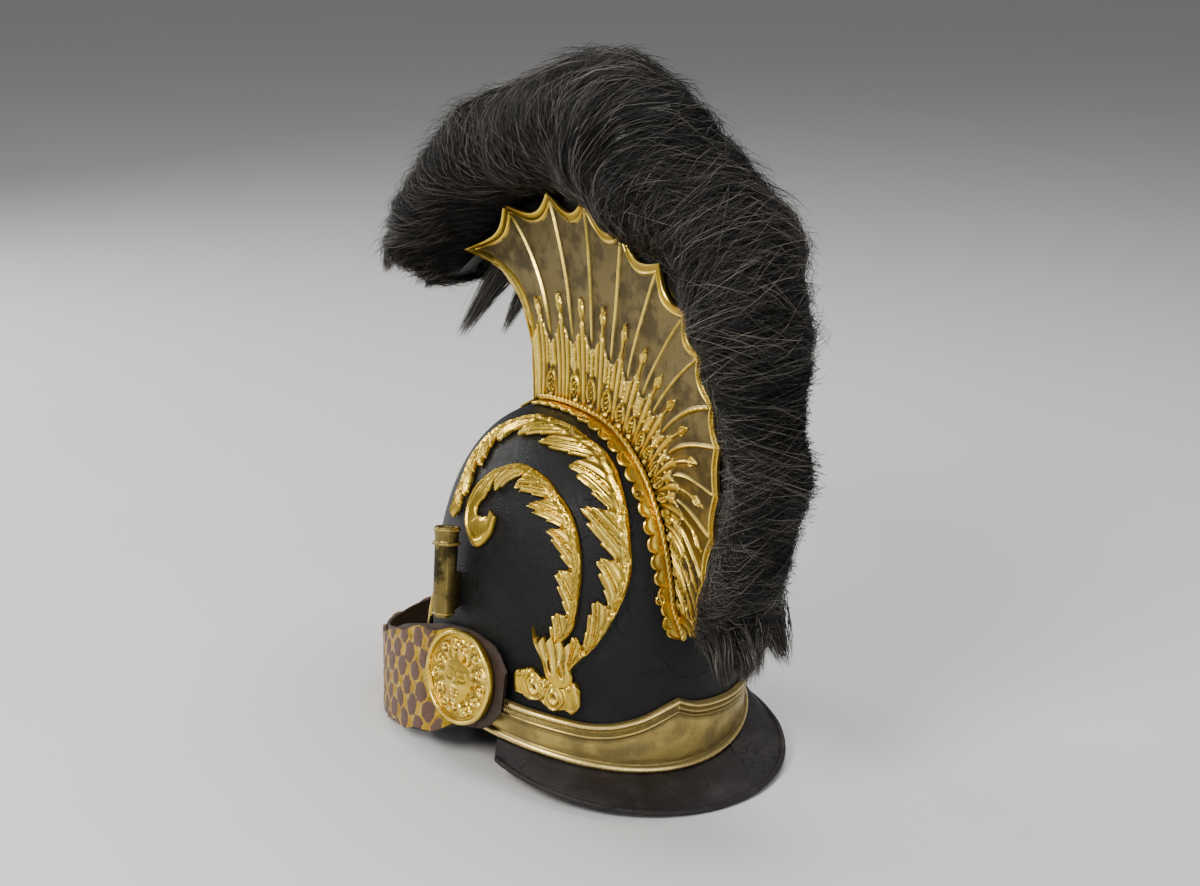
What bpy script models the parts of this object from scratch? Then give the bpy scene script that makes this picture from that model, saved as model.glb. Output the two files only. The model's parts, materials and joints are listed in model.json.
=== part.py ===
# Cavalry helmet: black leather skull, gilt brass comb with a fur crest, acanthus mounts,
# plume socket, neck guard and a chin strap worn round the front.
# Sizes are in millimetres and angles in degrees; each mesh is written out in metres.
# The wearer's left is +X, the front is -Y, and the helmet stands on z = 0.

import math

import bmesh
import bpy
from mathutils import Matrix, Vector

MILLIMETRE = 0.001
GAP = 0.35  # clear space between pieces that touch

# Skull
SKULL_LENGTH = 113.2  # half the outside length
SKULL_WIDTH = 99.2  # half the outside width
SKULL_HEIGHT = 187.5  # from the spring line to the crown
SKULL_ROUND = 2.78  # superellipse power of the dome's upright section
SPRING_HEIGHT = 34.0  # spring line above the surface that the helmet stands on
SKULL_WALL = 3.0
SKULL_COLUMNS = 32
RIM_DROP = 6.5  # how the rim falls towards the nape, first and second order
RIM_DROP_SQUARE = 14.0

# Rim band and front plate
BAND_FACE = 1.9  # how far the plain face stands off the skull
BAND_BEAD = 3.7
PLATE_HALF_TURN = 51.0
PLATE_THICKNESS = 1.4
PLATE_FLARE = 7.0  # how far the plate's lower edge stands off the skull
PLATE_OVER_BAND = 4.6
PLATE_SWELL = 1.0  # raised line along the lower and the upper edge

# Neck guard
GUARD_START = 111.0
GUARD_END = 249.0
GUARD_WALL = 3.0
GUARD_ROOT_HEIGHT = -1.7
GUARD_ROOT_IN = -2.6  # guard's root under the skull's edge, from the skull's outer face
GUARD_ROOT_OUT = 4.6
GUARD_LEAST_REACH = 7.5
BINDING_RADIUS = 2.2

# Comb
COMB_INNER = 6.5  # inner face of each side plate, from the middle plane
COMB_WALL = 1.2
RIB_RELIEF = 1.8
EDGE_RELIEF = 1.3
SPEAR_RELIEF = 1.7
COMB_SEAT = 1.2  # plate's foot above the skull
ROPE_RADIUS = 2.4
FOOT_WALL = 1.2
SCREW_RADIUS = 3.0
SCREW_SPOTS = (96.5, 118.0, 139.0)  # angles over the skull from the front
FRONT_HALF_WIDTH = 9.4  # strip that closes the comb's front edge
FRONT_RIDGE = 3.0

# Chin strap
STRAP_WALL = 2.2
SCALE_WALL = 1.0
SCALE_GAP = 0.6  # between the leather and the scales' back
STRAP_CENTRE = 20.0  # centre of the strap's plan curve, forward of the skull's centre
STRAP_REACH = 130.0
STRAP_SIDE = 107.7
STRAP_ROUND = 2.5
STRAP_TAIL = 37.0  # stretch of strap behind the boss's centre
STRAP_TURN = 90.0  # stretch over which the strap turns upright after the boss
SCALE_PITCH = 11.0
SCALE_BUMP = 1.4

# Boss
BOSS_RADIUS = 30.6
BOSS_CENTRE = (106.1, 13.9, 62.5)
BOSS_AZIMUTH = 99.5
BOSS_TILT = 8.0
BOSS_RIM = 4.4
BOSS_FIELD = 1.4  # height of the face's ground
MASK_LOCKS = 9  # locks of hair round the face

# Plume socket
SOCKET_FOOT = (108.2, -4.0, 98.0)
SOCKET_HEAD = (100.2, -11.0, 155.0)
SOCKET_FOOT_RADIUS = 7.0
SOCKET_HEAD_RADIUS = 8.6
SOCKET_BORE = 6.2
SOCKET_DEPTH = 48.0
LUG_FROM = 4.0  # lug that fixes the socket to the skull, by distance from the foot
LUG_TO = 30.0

# Rim band's upper edge above the spring line, by angle from the front towards the left
BAND_TOP = (
    # angle, height
    (0, 18),
    (60, 20),
    (85, 27),
    (113, 21),
    (130, 17),
    (143, 13.5),
    (152, 14),
    (162, 18),
    (170, 24),
    (175, 27),
    (181, 22),
    (187, 20),
    (200, 17.5),
    (215, 16),
    (230, 17),
    (247, 21),
    (275, 27),
    (300, 20),
    (360, 18),
)

# Front plate's upper edge above the spring line
FRONT_TOP = (
    # angle, height
    (0, 122),
    (8, 104),
    (20, 82),
    (33, 62),
    (44, 47),
    (51, 36),
)

# Comb ribs, front to back. Heights are above the standing surface.
COMB_RIBS = (
    # tip forward, tip height, bend forward, bend height, foot angle, scallop depth
    (139.0, 302.0, 42.0, 312.0, 75.0, 16.0),
    (89.0, 341.5, 20.0, 300.0, 80.5, 13.0),
    (37.0, 357.0, 4.5, 302.5, 89.4, 12.0),
    (-4.0, 359.0, -18.5, 301.5, 94.5, 12.0),
    (-45.0, 347.0, -42.0, 290.5, 99.2, 12.0),
    (-85.0, 331.0, -58.5, 280.0, 103.8, 10.0),
    (-113.0, 307.0, -79.0, 272.5, 107.0, 9.0),
    (-129.0, 283.0, -92.0, 261.0, 110.6, 8.0),
    (-142.0, 254.0, -106.0, 248.0, 114.9, 4.0),
    (-147.5, 231.0, -111.5, 224.5, 118.4, 2.0),
    (-147.5, 200.0, -116.0, 201.0, 122.0, 2.0),
    (-145.0, 171.0, -120.0, 179.0, 126.5, 3.0),
    (-138.0, 140.0, -122.0, 151.0, 133.0, 3.0),
    (-132.0, 117.0, -125.0, 128.0, 139.5, 2.0),
    (-123.0, 104.0, -121.0, 110.0, 145.0, 0.0),
)
FULL_BAYS = 8  # bays with deep scallops, which take four sections each
COMB_ROWS = (0.0, 0.22, 0.45, 0.68, 0.9, 1.0)  # from a rib's foot to its tip

# Fur crest, front to back, each row placed by its rib number along the comb
FUR_ROWS = (
    # rib, tip forward, tip height, half width, length of the narrow root
    (-0.40, 169.0, 263.0, 32.0, 14.0),
    (-0.20, 187.0, 276.0, 52.0, 24.0),
    (0.05, 196.0, 296.0, 60.0, 32.0),
    (0.40, 195.0, 323.0, 62.0, 30.0),
    (0.80, 182.0, 353.0, 60.0, 26.0),
    (1.15, 155.0, 384.0, 57.0, 22.0),
    (1.60, 112.0, 409.0, 54.0, 20.0),
    (2.10, 66.0, 428.0, 52.0, 19.0),
    (2.60, 26.0, 444.0, 51.0, 18.0),
    (3.10, -14.0, 452.0, 50.0, 18.0),
    (3.70, -54.0, 447.0, 50.0, 18.0),
    (4.40, -94.0, 430.0, 50.0, 18.0),
    (5.10, -130.0, 402.0, 51.0, 17.0),
    (5.80, -163.0, 373.0, 52.0, 16.0),
    (6.50, -185.0, 338.0, 52.0, 15.0),
    (7.20, -196.0, 300.0, 51.0, 14.0),
    (8.10, -192.0, 262.0, 48.0, 10.0),
    (9.10, -193.0, 222.0, 46.0, 8.0),
    (10.1, -189.0, 184.0, 43.0, 8.0),
    (11.1, -183.0, 150.0, 39.0, 8.0),
    (12.0, -175.0, 119.0, 32.0, 8.0),
    (12.7, -166.0, 97.0, 22.0, 8.0),
)
FUR_ROOT_WIDTH = 5.8  # half width of the root, which stays between the side plates
LOCK_DEPTH = 4.5
FLANK_SLOPE = 0.66  # spread of the rear flanks, which leaves the comb's edge in sight from behind
CORE_INSET = 2.5  # core's edge below the comb's edge
CORE_START = 0.3  # rib number at which the core begins
FUR_SEAT = 0.8

MOUNT_GAP = 0.6  # back of a gilt mount above the curved skull

# Acanthus branches on the skull: the smooth back edge and the lobed edge of each
OUTER_BRANCH = (
    # back turn, back rise, lobe turn, lobe rise
    (139, 16, 135, 19),
    (146, 20, 140, 23),
    (153, 26, 144, 28),
    (158, 32, 145, 33),
    (159, 38, 143, 39),
    (159, 45, 139, 46),
    (156, 56, 132, 53),
    (145, 63, 121, 58),
    (126, 69, 104, 61),
    (94, 71, 91, 61),
    (74, 65, 81, 58),
    (68, 57, 79, 54),
    (68, 51, 79, 49),
    (71, 45, 80, 44),
    (73, 40, 79, 39),
    (73, 37, 75, 36),
)
INNER_BRANCH = (
    # back turn, back rise, lobe turn, lobe rise
    (131, 18, 126, 19),
    (137, 22, 129, 22),
    (139, 27, 131, 27),
    (140, 33, 130, 32),
    (139, 38, 127, 38),
    (136, 43, 122, 41),
    (130, 47, 116, 44),
    (121, 51, 109, 46),
    (106, 53, 103, 47),
    (94, 50, 97, 45),
    (86, 45, 92, 42.5),
    (85, 40, 90, 40.5),
    (88, 35.5, 92, 39),
    (95, 33, 95, 38.6),
    (101, 36, 97.5, 39.6),
    (102, 40, 97.8, 41),
)

# Chin strap's edges by distance from the boss's centre along the strap
STRAP_EDGES = (
    # distance, lower edge, upper edge
    (-37, 52, 73),
    (-33, 44, 81),
    (-24, 35, 89),
    (0, 30, 93),
    (25, 18, 90),
    (45, 12, 84),
    (70, 6, 76),
    (85, 3, 68),
    (100, 1, 63),
    (125, 0, 55),
    (160, 0, 49),
    (400, 0, 49),
)


def clear_scene():
    for item in list(bpy.data.objects):
        bpy.data.objects.remove(item, do_unlink=True)


def finish(name, colour, roughness, metallic):
    material = bpy.data.materials.new(name)
    material.use_nodes = True
    shader = material.node_tree.nodes["Principled BSDF"]
    shader.inputs["Base Color"].default_value = (*colour, 1.0)
    shader.inputs["Roughness"].default_value = roughness
    shader.inputs["Metallic"].default_value = metallic
    return material


def blend(low, high, amount):
    return low + (high - low) * amount


def read_table(table, position, column):
    """Straight-line value of a column at a position along the first column."""
    for before, after in zip(table, table[1:]):
        if position <= after[0]:
            amount = (position - before[0]) / (after[0] - before[0])
            return blend(before[column], after[column], max(amount, 0.0))
    return table[-1][column]


def rows_between(table, steps):
    """Table rows with steps sections between each pair, and how far each is into its bay."""
    sections = []
    for before, after in zip(table, table[1:]):
        for step in range(steps):
            amount = step / steps
            row = [blend(low, high, amount) for low, high in zip(before, after)]
            sections.append((row, amount))
    sections.append((list(table[-1]), 0.0))
    return sections


# Points on the skull. A turn runs from the front towards the wearer's left.


def push_out(point, offset):
    """Move a point of the skull's outer face along the face's normal."""
    across = math.hypot(point.x / SKULL_WIDTH, point.y / SKULL_LENGTH)
    up = max(point.z - SPRING_HEIGHT, 0.0) / SKULL_HEIGHT
    steep = max(across, 1e-6) ** (SKULL_ROUND - 2.0)
    normal = Vector((
        steep * point.x / SKULL_WIDTH ** 2,
        steep * point.y / SKULL_LENGTH ** 2,
        up ** (SKULL_ROUND - 1.0) / SKULL_HEIGHT,
    ))
    return point + normal.normalized() * offset


def skull_at_height(turn, height, offset=0.0):
    """Point at a height above the spring line, which may be below it."""
    angle = math.radians(turn)
    up = min(max(height, 0.0) / SKULL_HEIGHT, 1.0)
    across = (1.0 - up ** SKULL_ROUND) ** (1.0 / SKULL_ROUND)
    point = Vector((
        SKULL_WIDTH * across * math.sin(angle),
        -SKULL_LENGTH * across * math.cos(angle),
        SPRING_HEIGHT + height,
    ))
    return push_out(point, offset)


def skull_side(forward, height):
    """Half the skull's width at a place beside the middle plane."""
    up = (height - SPRING_HEIGHT) / SKULL_HEIGHT
    across = (1.0 - up ** SKULL_ROUND) ** (1.0 / SKULL_ROUND)
    return SKULL_WIDTH * math.sqrt(across ** 2 - (forward / SKULL_LENGTH) ** 2)


def skull_at_rise(turn, rise, offset=0.0):
    """Point at a rise of 0 on the spring line and 90 at the crown."""
    level, up = math.cos(math.radians(rise)), math.sin(math.radians(rise))
    size = (level ** SKULL_ROUND + up ** SKULL_ROUND) ** (1.0 / SKULL_ROUND)
    angle = math.radians(turn)
    point = Vector((
        SKULL_WIDTH * level / size * math.sin(angle),
        -SKULL_LENGTH * level / size * math.cos(angle),
        SPRING_HEIGHT + SKULL_HEIGHT * up / size,
    ))
    return push_out(point, offset)


def skull_over(angle, side, offset=0.0):
    """Point beside the middle plane: 0 is the front, 90 the crown, and side is in mm."""
    forward, up = math.cos(math.radians(angle)), math.sin(math.radians(angle))
    size = 1.0
    for _ in range(4):
        across = math.hypot(side * size / SKULL_WIDTH, forward)
        size = (across ** SKULL_ROUND + up ** SKULL_ROUND) ** (1.0 / SKULL_ROUND)
    point = Vector((
        side,
        -forward * SKULL_LENGTH / size,
        SPRING_HEIGHT + up * SKULL_HEIGHT / size,
    ))
    return push_out(point, offset)


def over_angle(angle):
    """Turn a plain angle in the middle plane into the angle that skull_over reads."""
    forward = math.cos(math.radians(angle)) / SKULL_LENGTH
    up = math.sin(math.radians(angle)) / SKULL_HEIGHT
    return math.degrees(math.atan2(up, forward))


def rim_height(turn):
    """Rim above the spring line, lower at the nape."""
    back = -math.cos(math.radians(turn))
    return -(RIM_DROP * back + RIM_DROP_SQUARE * back * back)


# Making meshes


def add_object(name, mesh, material, smooth):
    mesh.materials.append(material)
    for polygon in mesh.polygons:
        polygon.use_smooth = smooth
    item = bpy.data.objects.new(name, mesh)
    bpy.context.scene.collection.objects.link(item)
    return item


def mesh_from(name, points, faces):
    shape = bmesh.new()
    corners = [shape.verts.new(Vector(point) * MILLIMETRE) for point in points]
    for face in faces:
        shape.faces.new([corners[index] for index in face])
    bmesh.ops.recalc_face_normals(shape, faces=shape.faces)
    mesh = bpy.data.meshes.new(name)
    shape.to_mesh(mesh)
    shape.free()
    return mesh


def end_faces(first, count):
    """Close a ring that runs out along one side and back along the other."""
    faces = []
    low, high = first, first + count - 1
    while high - low > 1:
        if high - low == 2:
            faces.append((low, low + 1, high))
        else:
            faces.append((low, low + 1, high - 1, high))
        low, high = low + 1, high - 1
    return faces


def fan_faces(first, count):
    """Close a ring with triangles from its last point."""
    last = first + count - 1
    return [(last, index, index + 1) for index in range(first, last - 1)]


def swept_mesh(name, rings, closed=False, fan=False):
    """Join rings of the same number of points into one closed body."""
    count = len(rings[0])
    points = [point for ring in rings for point in ring]
    faces = []
    spans = len(rings) if closed else len(rings) - 1
    for span in range(spans):
        here, there = span * count, (span + 1) % len(rings) * count
        for side in range(count):
            near = (side + 1) % count
            faces.append((here + side, here + near, there + near, there + side))
    if not closed:
        close = fan_faces if fan else end_faces
        faces += close(0, count) + close((len(rings) - 1) * count, count)
    return mesh_from(name, points, faces)


def add_swept(name, rings, material, smooth=False, closed=False, fan=False):
    return add_object(name, swept_mesh(name, rings, closed, fan), material, smooth)


def add_pair(name, rings, material, smooth=False):
    """The wearer's left piece and its mirror image on the right."""
    mirrored = [[Vector((-point[0], point[1], point[2])) for point in ring] for ring in rings]
    add_swept(name + "_left", rings, material, smooth)
    add_swept(name + "_right", mirrored, material, smooth)


def tube_rings(path, radius, sides, twist=0.0):
    """Round section carried along a path, with its frame turned as little as possible."""
    rings = []
    tangents = []
    for index, point in enumerate(path):
        before, after = path[max(index - 1, 0)], path[min(index + 1, len(path) - 1)]
        tangents.append((Vector(after) - Vector(before)).normalized())
    normal = tangents[0].orthogonal().normalized()
    for index, point in enumerate(path):
        normal = (normal - tangents[index] * normal.dot(tangents[index])).normalized()
        other = tangents[index].cross(normal)
        ring = []
        for side in range(sides):
            angle = math.tau * side / sides + math.radians(twist) * index
            outward = normal * math.cos(angle) + other * math.sin(angle)
            ring.append(Vector(point) + outward * radius)
        rings.append(ring)
    return rings


# The pieces


def build_skull(leather):
    rises = (7, 18, 30, 43, 56, 68, 80)
    around = SKULL_COLUMNS
    points = []
    for ring in range(len(rises) + 2):
        for column in range(around):
            turn = 360.0 * column / around
            if ring == 0:
                points.append(skull_at_height(turn, rim_height(turn)))
            elif ring == 1:
                points.append(skull_at_height(turn, 8.0))
            else:
                points.append(skull_at_rise(turn, rises[ring - 2]))
    crown = len(points)
    points.append(skull_at_rise(0.0, 90.0))
    faces = []
    last = len(rises) + 1
    for ring in range(last):
        for column in range(around):
            near = (column + 1) % around
            low, high = ring * around, (ring + 1) * around
            faces.append((low + column, low + near, high + near, high + column))
    for column in range(around):
        faces.append((last * around + column, last * around + (column + 1) % around, crown))
    item = add_object("skull", mesh_from("skull", points, faces), leather, True)
    wall = item.modifiers.new("Wall", "SOLIDIFY")
    wall.thickness = SKULL_WALL * MILLIMETRE
    wall.offset = -1.0
    wall.use_even_offset = True


def build_band(brass):
    columns = 48
    rings = []
    for column in range(columns):
        turn = 360.0 * column / columns
        rim = rim_height(turn)
        top = read_table(BAND_TOP, turn, 1)
        section = (
            # height, offset
            (rim - 1.2, GAP),
            (rim - 1.2, 3.0),
            (rim + 1.0, 4.2),
            (rim + 4.0, BAND_FACE),
            (top - 9.0, BAND_FACE),
            (top - 6.0, BAND_BEAD),
            (top - 3.0, BAND_FACE + 0.4),
            (top - 1.0, BAND_BEAD - 0.4),
            (top, GAP),
        )
        rings.append([skull_at_height(turn, height, offset) for height, offset in section])
    add_swept("base_band", rings, brass, True, closed=True)


def build_front_plate(brass):
    rings = []
    sections = 18
    rows = 4
    for section in range(sections + 1):
        turn = blend(-PLATE_HALF_TURN, PLATE_HALF_TURN, section / sections)
        low = rim_height(turn) + 1.0
        high = read_table(FRONT_TOP, abs(turn), 1)
        front, back = [], []
        for row in range(rows + 1):
            amount = row / rows
            height = blend(low, high, amount)
            band = read_table(BAND_TOP, abs(turn), 1)
            stand = PLATE_OVER_BAND if height <= band + 3.0 else MOUNT_GAP
            lift = max(stand, blend(PLATE_FLARE, MOUNT_GAP, amount ** 0.8))
            swell = PLATE_SWELL if row in (1, rows - 1) else 0.0
            back.append(skull_at_height(turn, height, lift))
            front.append(skull_at_height(turn, height, lift + PLATE_THICKNESS + swell))
        rings.append(front + back[::-1])
    add_swept("front_plate", rings, brass)


def guard_edge(turn):
    """How far the neck guard reaches out from the skull, and its edge's height above the rim."""
    back = -math.cos(math.radians(turn))
    reach = max(-8.75 + 42.9 * back + 6.2 * back * back, GUARD_LEAST_REACH)
    rim = rim_height(turn)
    lowest = BINDING_RADIUS - SPRING_HEIGHT
    edge = max(rim - (15.2 - 3.9 * back), lowest)
    return reach, edge


def build_neck_guard(leather, binding):
    sections = 24
    rings, path = [], []
    for section in range(sections + 1):
        turn = blend(GUARD_START, GUARD_END, section / sections)
        reach, edge = guard_edge(turn)
        rim = rim_height(turn)
        root = rim + GUARD_ROOT_HEIGHT
        upper = (
            # height, offset
            (root, GUARD_ROOT_IN),
            (root, GUARD_ROOT_OUT),
            (blend(root, edge, 0.32), blend(GUARD_ROOT_OUT, reach, 0.40)),
            (blend(root, edge, 0.64), blend(GUARD_ROOT_OUT, reach, 0.70)),
        )
        top = [skull_at_height(turn, height, offset) for height, offset in upper]
        end = skull_at_height(turn, edge, reach)
        inward = (top[-1] - end).normalized()
        out = skull_at_height(turn, 0.0, 1.0) - skull_at_height(turn, 0.0, 0.0)
        slope = (end - top[1]).normalized()
        along = Vector((-out.y, out.x, 0.0)).normalized()
        under = along.cross(slope)
        if under.z > 0.0:
            under = -under
        last = end + inward * (BINDING_RADIUS + 2.0 * GAP)
        top.append(last - under * GUARD_WALL * 0.5)
        lower = [top[0] - Vector((0, 0, GUARD_WALL))]
        lower += [point + under * GUARD_WALL for point in top[1:]]
        lower = [Vector((point.x, point.y, max(point.z, 0.1))) for point in lower]
        rings.append(top + lower[::-1])
        path.append(end)
    add_swept("neck_guard", rings, leather)
    add_swept("guard_binding", tube_rings(path, BINDING_RADIUS, 6), binding, True)


def comb_foot(angle, offset):
    """Point of the middle plane, as forward and height, above the skull."""
    point = skull_over(over_angle(angle), 0.0, offset)
    return Vector((-point.y, point.z))


def comb_curve(row, pull, along):
    """Point of a comb section from its foot, 0, to its edge, 1, as forward and height."""
    tip, bend = Vector(row[0:2]), Vector(row[2:4])
    foot = comb_foot(row[4], COMB_SEAT)
    tip = tip + (bend - tip).normalized() * pull
    return foot * (1 - along) ** 2 + bend * 2 * along * (1 - along) + tip * along ** 2


def comb_sections():
    deep = rows_between(COMB_RIBS[:FULL_BAYS + 1], 4)
    shallow = rows_between(COMB_RIBS[FULL_BAYS:], 2)
    return deep[:-1] + shallow


def build_comb_plates(brass):
    rings = []
    for row, into_bay in comb_sections():
        scallop = 4.0 * into_bay * (1.0 - into_bay)
        outer, inner = [], []
        for index, along in enumerate(COMB_ROWS):
            forward, height = comb_curve(row, scallop * row[5], along)
            relief = RIB_RELIEF if into_bay == 0.0 else 0.0
            if index == 1 and into_bay == 0.5:
                relief = SPEAR_RELIEF
            if index >= len(COMB_ROWS) - 2:
                relief = max(relief, EDGE_RELIEF)
            outer.append(Vector((COMB_INNER + COMB_WALL + relief, -forward, height)))
            inner.append(Vector((COMB_INNER, -forward, height)))
        rings.append(outer + inner[::-1])
    add_pair("comb_plate", rings, brass)


def build_comb_foot(brass, steel):
    first, last = COMB_RIBS[0][4] + 3.0, COMB_RIBS[-1][4] + 2.0
    side = COMB_INNER + COMB_WALL + RIB_RELIEF + GAP + ROPE_RADIUS
    sections = 30
    path, rings = [], []
    for section in range(sections + 1):
        angle = over_angle(blend(first, last, section / sections))
        path.append(skull_over(angle, side, GAP + FOOT_WALL + GAP + ROPE_RADIUS))
        near = COMB_INNER + COMB_WALL + RIB_RELIEF + GAP
        far = side + 3.2 + 3.0 * abs(math.sin(math.pi * section / 3.0))
        rings.append([
            skull_over(angle, near, GAP),
            skull_over(angle, near, GAP + FOOT_WALL),
            skull_over(angle, far, GAP + 0.5 * FOOT_WALL),
            skull_over(angle, far, GAP),
        ])
    add_pair("comb_foot", rings, brass)
    add_pair("comb_rope", tube_rings(path, ROPE_RADIUS, 5, twist=36.0), brass, True)
    for number, spot in enumerate(SCREW_SPOTS, start=1):
        angle = over_angle(spot)
        lift = GAP + FOOT_WALL + GAP
        base = skull_over(angle, side + 5.9, lift)
        tip = skull_over(angle, side + 5.9, lift + 2.0)
        axis = (tip - base).normalized()
        across = axis.orthogonal().normalized()
        other = axis.cross(across)
        head = []
        for height, radius in ((0.0, SCREW_RADIUS), (1.0, SCREW_RADIUS), (1.9, 1.6)):
            head.append([
                base + axis * height + (across * math.cos(step) + other * math.sin(step)) * radius
                for step in (math.tau * side_number / 8 for side_number in range(8))
            ])
        mirrored = [[Vector((-point.x, point.y, point.z)) for point in ring] for ring in head]
        add_swept("comb_screw_left_%d" % number, head, steel)
        add_swept("comb_screw_right_%d" % number, mirrored, steel)


def build_comb_front(brass):
    """Strip that closes the comb's front edge and spreads on to the skull."""
    edge = [comb_curve(COMB_RIBS[0], 0.0, along) for along in COMB_ROWS[:-1]]
    rings = []
    for index, spot in enumerate(edge):
        before, after = edge[max(index - 1, 0)], edge[min(index + 1, len(edge) - 1)]
        run = (after - before).normalized()
        out = Vector((run.y, -run.x))
        half = FRONT_HALF_WIDTH if index < len(edge) - 1 else 7.0
        near, far = spot + out * GAP, spot + out * (GAP + 1.3)
        ridge = spot + out * (GAP + FRONT_RIDGE)
        rings.append([
            Vector((-half, -near.x, near.y)),
            Vector((half, -near.x, near.y)),
            Vector((half, -far.x, far.y)),
            Vector((0.0, -ridge.x, ridge.y)),
            Vector((-half, -far.x, far.y)),
        ])
    add_swept("comb_front", rings, brass)
    flare = []
    for step in range(7):
        angle = over_angle(blend(61.0, 73.0, step / 6))
        half = 9.5 + 2.0 * abs(math.sin(math.pi * step / 2.0))
        low, high = GAP + 0.5, GAP + 1.9
        flare.append([
            skull_over(angle, -half, low),
            skull_over(angle, half, low),
            skull_over(angle, half, high),
            skull_over(angle, 0.0, high + 2.0),
            skull_over(angle, -half, high),
        ])
    add_swept("comb_front_foot", flare, brass)


def crest_rows():
    """For each row of the fur: its root, tip, half width and root length, and the core's points."""
    rows = []
    for position, tip_forward, tip_height, half_width, root in FUR_ROWS:
        index = max(min(int(position), len(COMB_RIBS) - 2), 0)
        amount = position - index
        rib = [blend(low, high, amount) for low, high in zip(COMB_RIBS[index], COMB_RIBS[index + 1])]
        pull = rib[5] + CORE_INSET
        core = [comb_curve(rib, pull, along) for along in (1.0, 0.5)] + [comb_foot(rib[4], 0.8)]
        rows.append((core[0], Vector((tip_forward, tip_height)), half_width, root, core))
    return rows


def fur_ring(base, tip, half_width, root, odd):
    """Section of the fur, whose points rise and fall in turn to part it into locks."""
    outward = (tip - base).normalized()
    height = (tip - base).length
    slope = FLANK_SLOPE + 2.5 * max(0.65 - max(-outward.x, 0.0), 0.0)
    swell = (
        # share of the half width, distance from the root
        (0.55, root + 5.0),
        (0.93, max(0.42 * height, root + 9.0)),
        (0.95, max(0.66 * height, root + 14.0)),
        (0.62, 0.90 * height),
        (0.0, height),
    )
    section = [(FUR_ROOT_WIDTH, FUR_SEAT), (FUR_ROOT_WIDTH, root)]
    section += [(min(share * half_width, FUR_ROOT_WIDTH + slope * up), up) for share, up in swell]
    ring = []
    for index, (side, up) in enumerate(section):
        lock = LOCK_DEPTH if (index + odd) % 2 else 0.0
        if index > 1 and side > 0.0:
            side -= lock
        if index > 4:
            up -= lock * 0.7
        spot = base + outward * up
        ring.append(Vector((side, -spot.x, spot.y)))
    return ring + [Vector((-point.x, point.y, point.z)) for point in ring[-2::-1]]


def build_crest(core, fur):
    half = COMB_INNER - GAP
    rows = crest_rows()
    rings = []
    for place, row in zip(FUR_ROWS, rows):
        if place[0] < CORE_START:
            continue
        outline = [Vector((half, -spot.x, spot.y)) for spot in row[4]]
        rings.append(outline + [Vector((-point.x, point.y, point.z)) for point in outline[::-1]])
    add_swept("crest_core", rings, core)
    rings = []
    for row, after in zip(rows, rows[1:]):
        rings.append(fur_ring(*row[:4], 0))
        between = [blend(low, high, 0.5) for low, high in zip(row[:4], after[:4])]
        rings.append(fur_ring(*between, 1))
    rings.append(fur_ring(*rows[-1][:4], 0))
    add_swept("crest_fur", rings, fur)


def branch_rings(table, crown):
    rings = []
    for row, into_bay in rows_between(table, 2):
        back_turn, back_rise, lobe_turn, lobe_rise = row
        cut = 0.34 if into_bay else 0.0
        lobe_turn = blend(lobe_turn, back_turn, cut)
        lobe_rise = blend(lobe_rise, back_rise, cut)
        middle_turn, middle_rise = blend(back_turn, lobe_turn, 0.35), blend(back_rise, lobe_rise, 0.35)
        rings.append([
            skull_at_rise(back_turn, back_rise, MOUNT_GAP),
            skull_at_rise(back_turn, back_rise, MOUNT_GAP + 1.4),
            skull_at_rise(middle_turn, middle_rise, MOUNT_GAP + crown),
            skull_at_rise(lobe_turn, lobe_rise, MOUNT_GAP + 1.6),
            skull_at_rise(lobe_turn, lobe_rise, MOUNT_GAP),
            skull_at_rise(middle_turn, middle_rise, MOUNT_GAP),
        ])
    return rings


def build_acanthus(brass):
    add_pair("acanthus_outer", branch_rings(OUTER_BRANCH, 4.6), brass)
    add_pair("acanthus_inner", branch_rings(INNER_BRANCH, 4.2), brass)
    calyx = []
    for rise, middle, half in ((12.6, 131.0, 3.0), (14.5, 131.0, 4.6), (16.6, 130.5, 4.2)):
        calyx.append([
            skull_at_rise(middle - half, rise, MOUNT_GAP),
            skull_at_rise(middle - half, rise, MOUNT_GAP + 2.0),
            skull_at_rise(middle, rise - 0.6, MOUNT_GAP + 6.0),
            skull_at_rise(middle + half, rise, MOUNT_GAP + 2.0),
            skull_at_rise(middle + half, rise, MOUNT_GAP),
        ])
    add_pair("calyx", calyx, brass)
    knot = []
    for turn, middle, half in (
        (117.0, 10.6, 1.3),
        (120.0, 10.2, 2.6),
        (124.0, 9.9, 1.3),
        (128.0, 9.7, 1.9),
        (132.0, 9.6, 1.3),
        (136.0, 9.4, 2.6),
        (139.0, 9.2, 1.2),
    ):
        knot.append([
            skull_at_rise(turn, middle - half, MOUNT_GAP),
            skull_at_rise(turn, middle - half, MOUNT_GAP + 2.4),
            skull_at_rise(turn, middle, MOUNT_GAP + 4.6),
            skull_at_rise(turn, middle + half, MOUNT_GAP + 2.4),
            skull_at_rise(turn, middle + half, MOUNT_GAP),
        ])
    add_pair("ribbon_knot", knot, brass)


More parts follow.
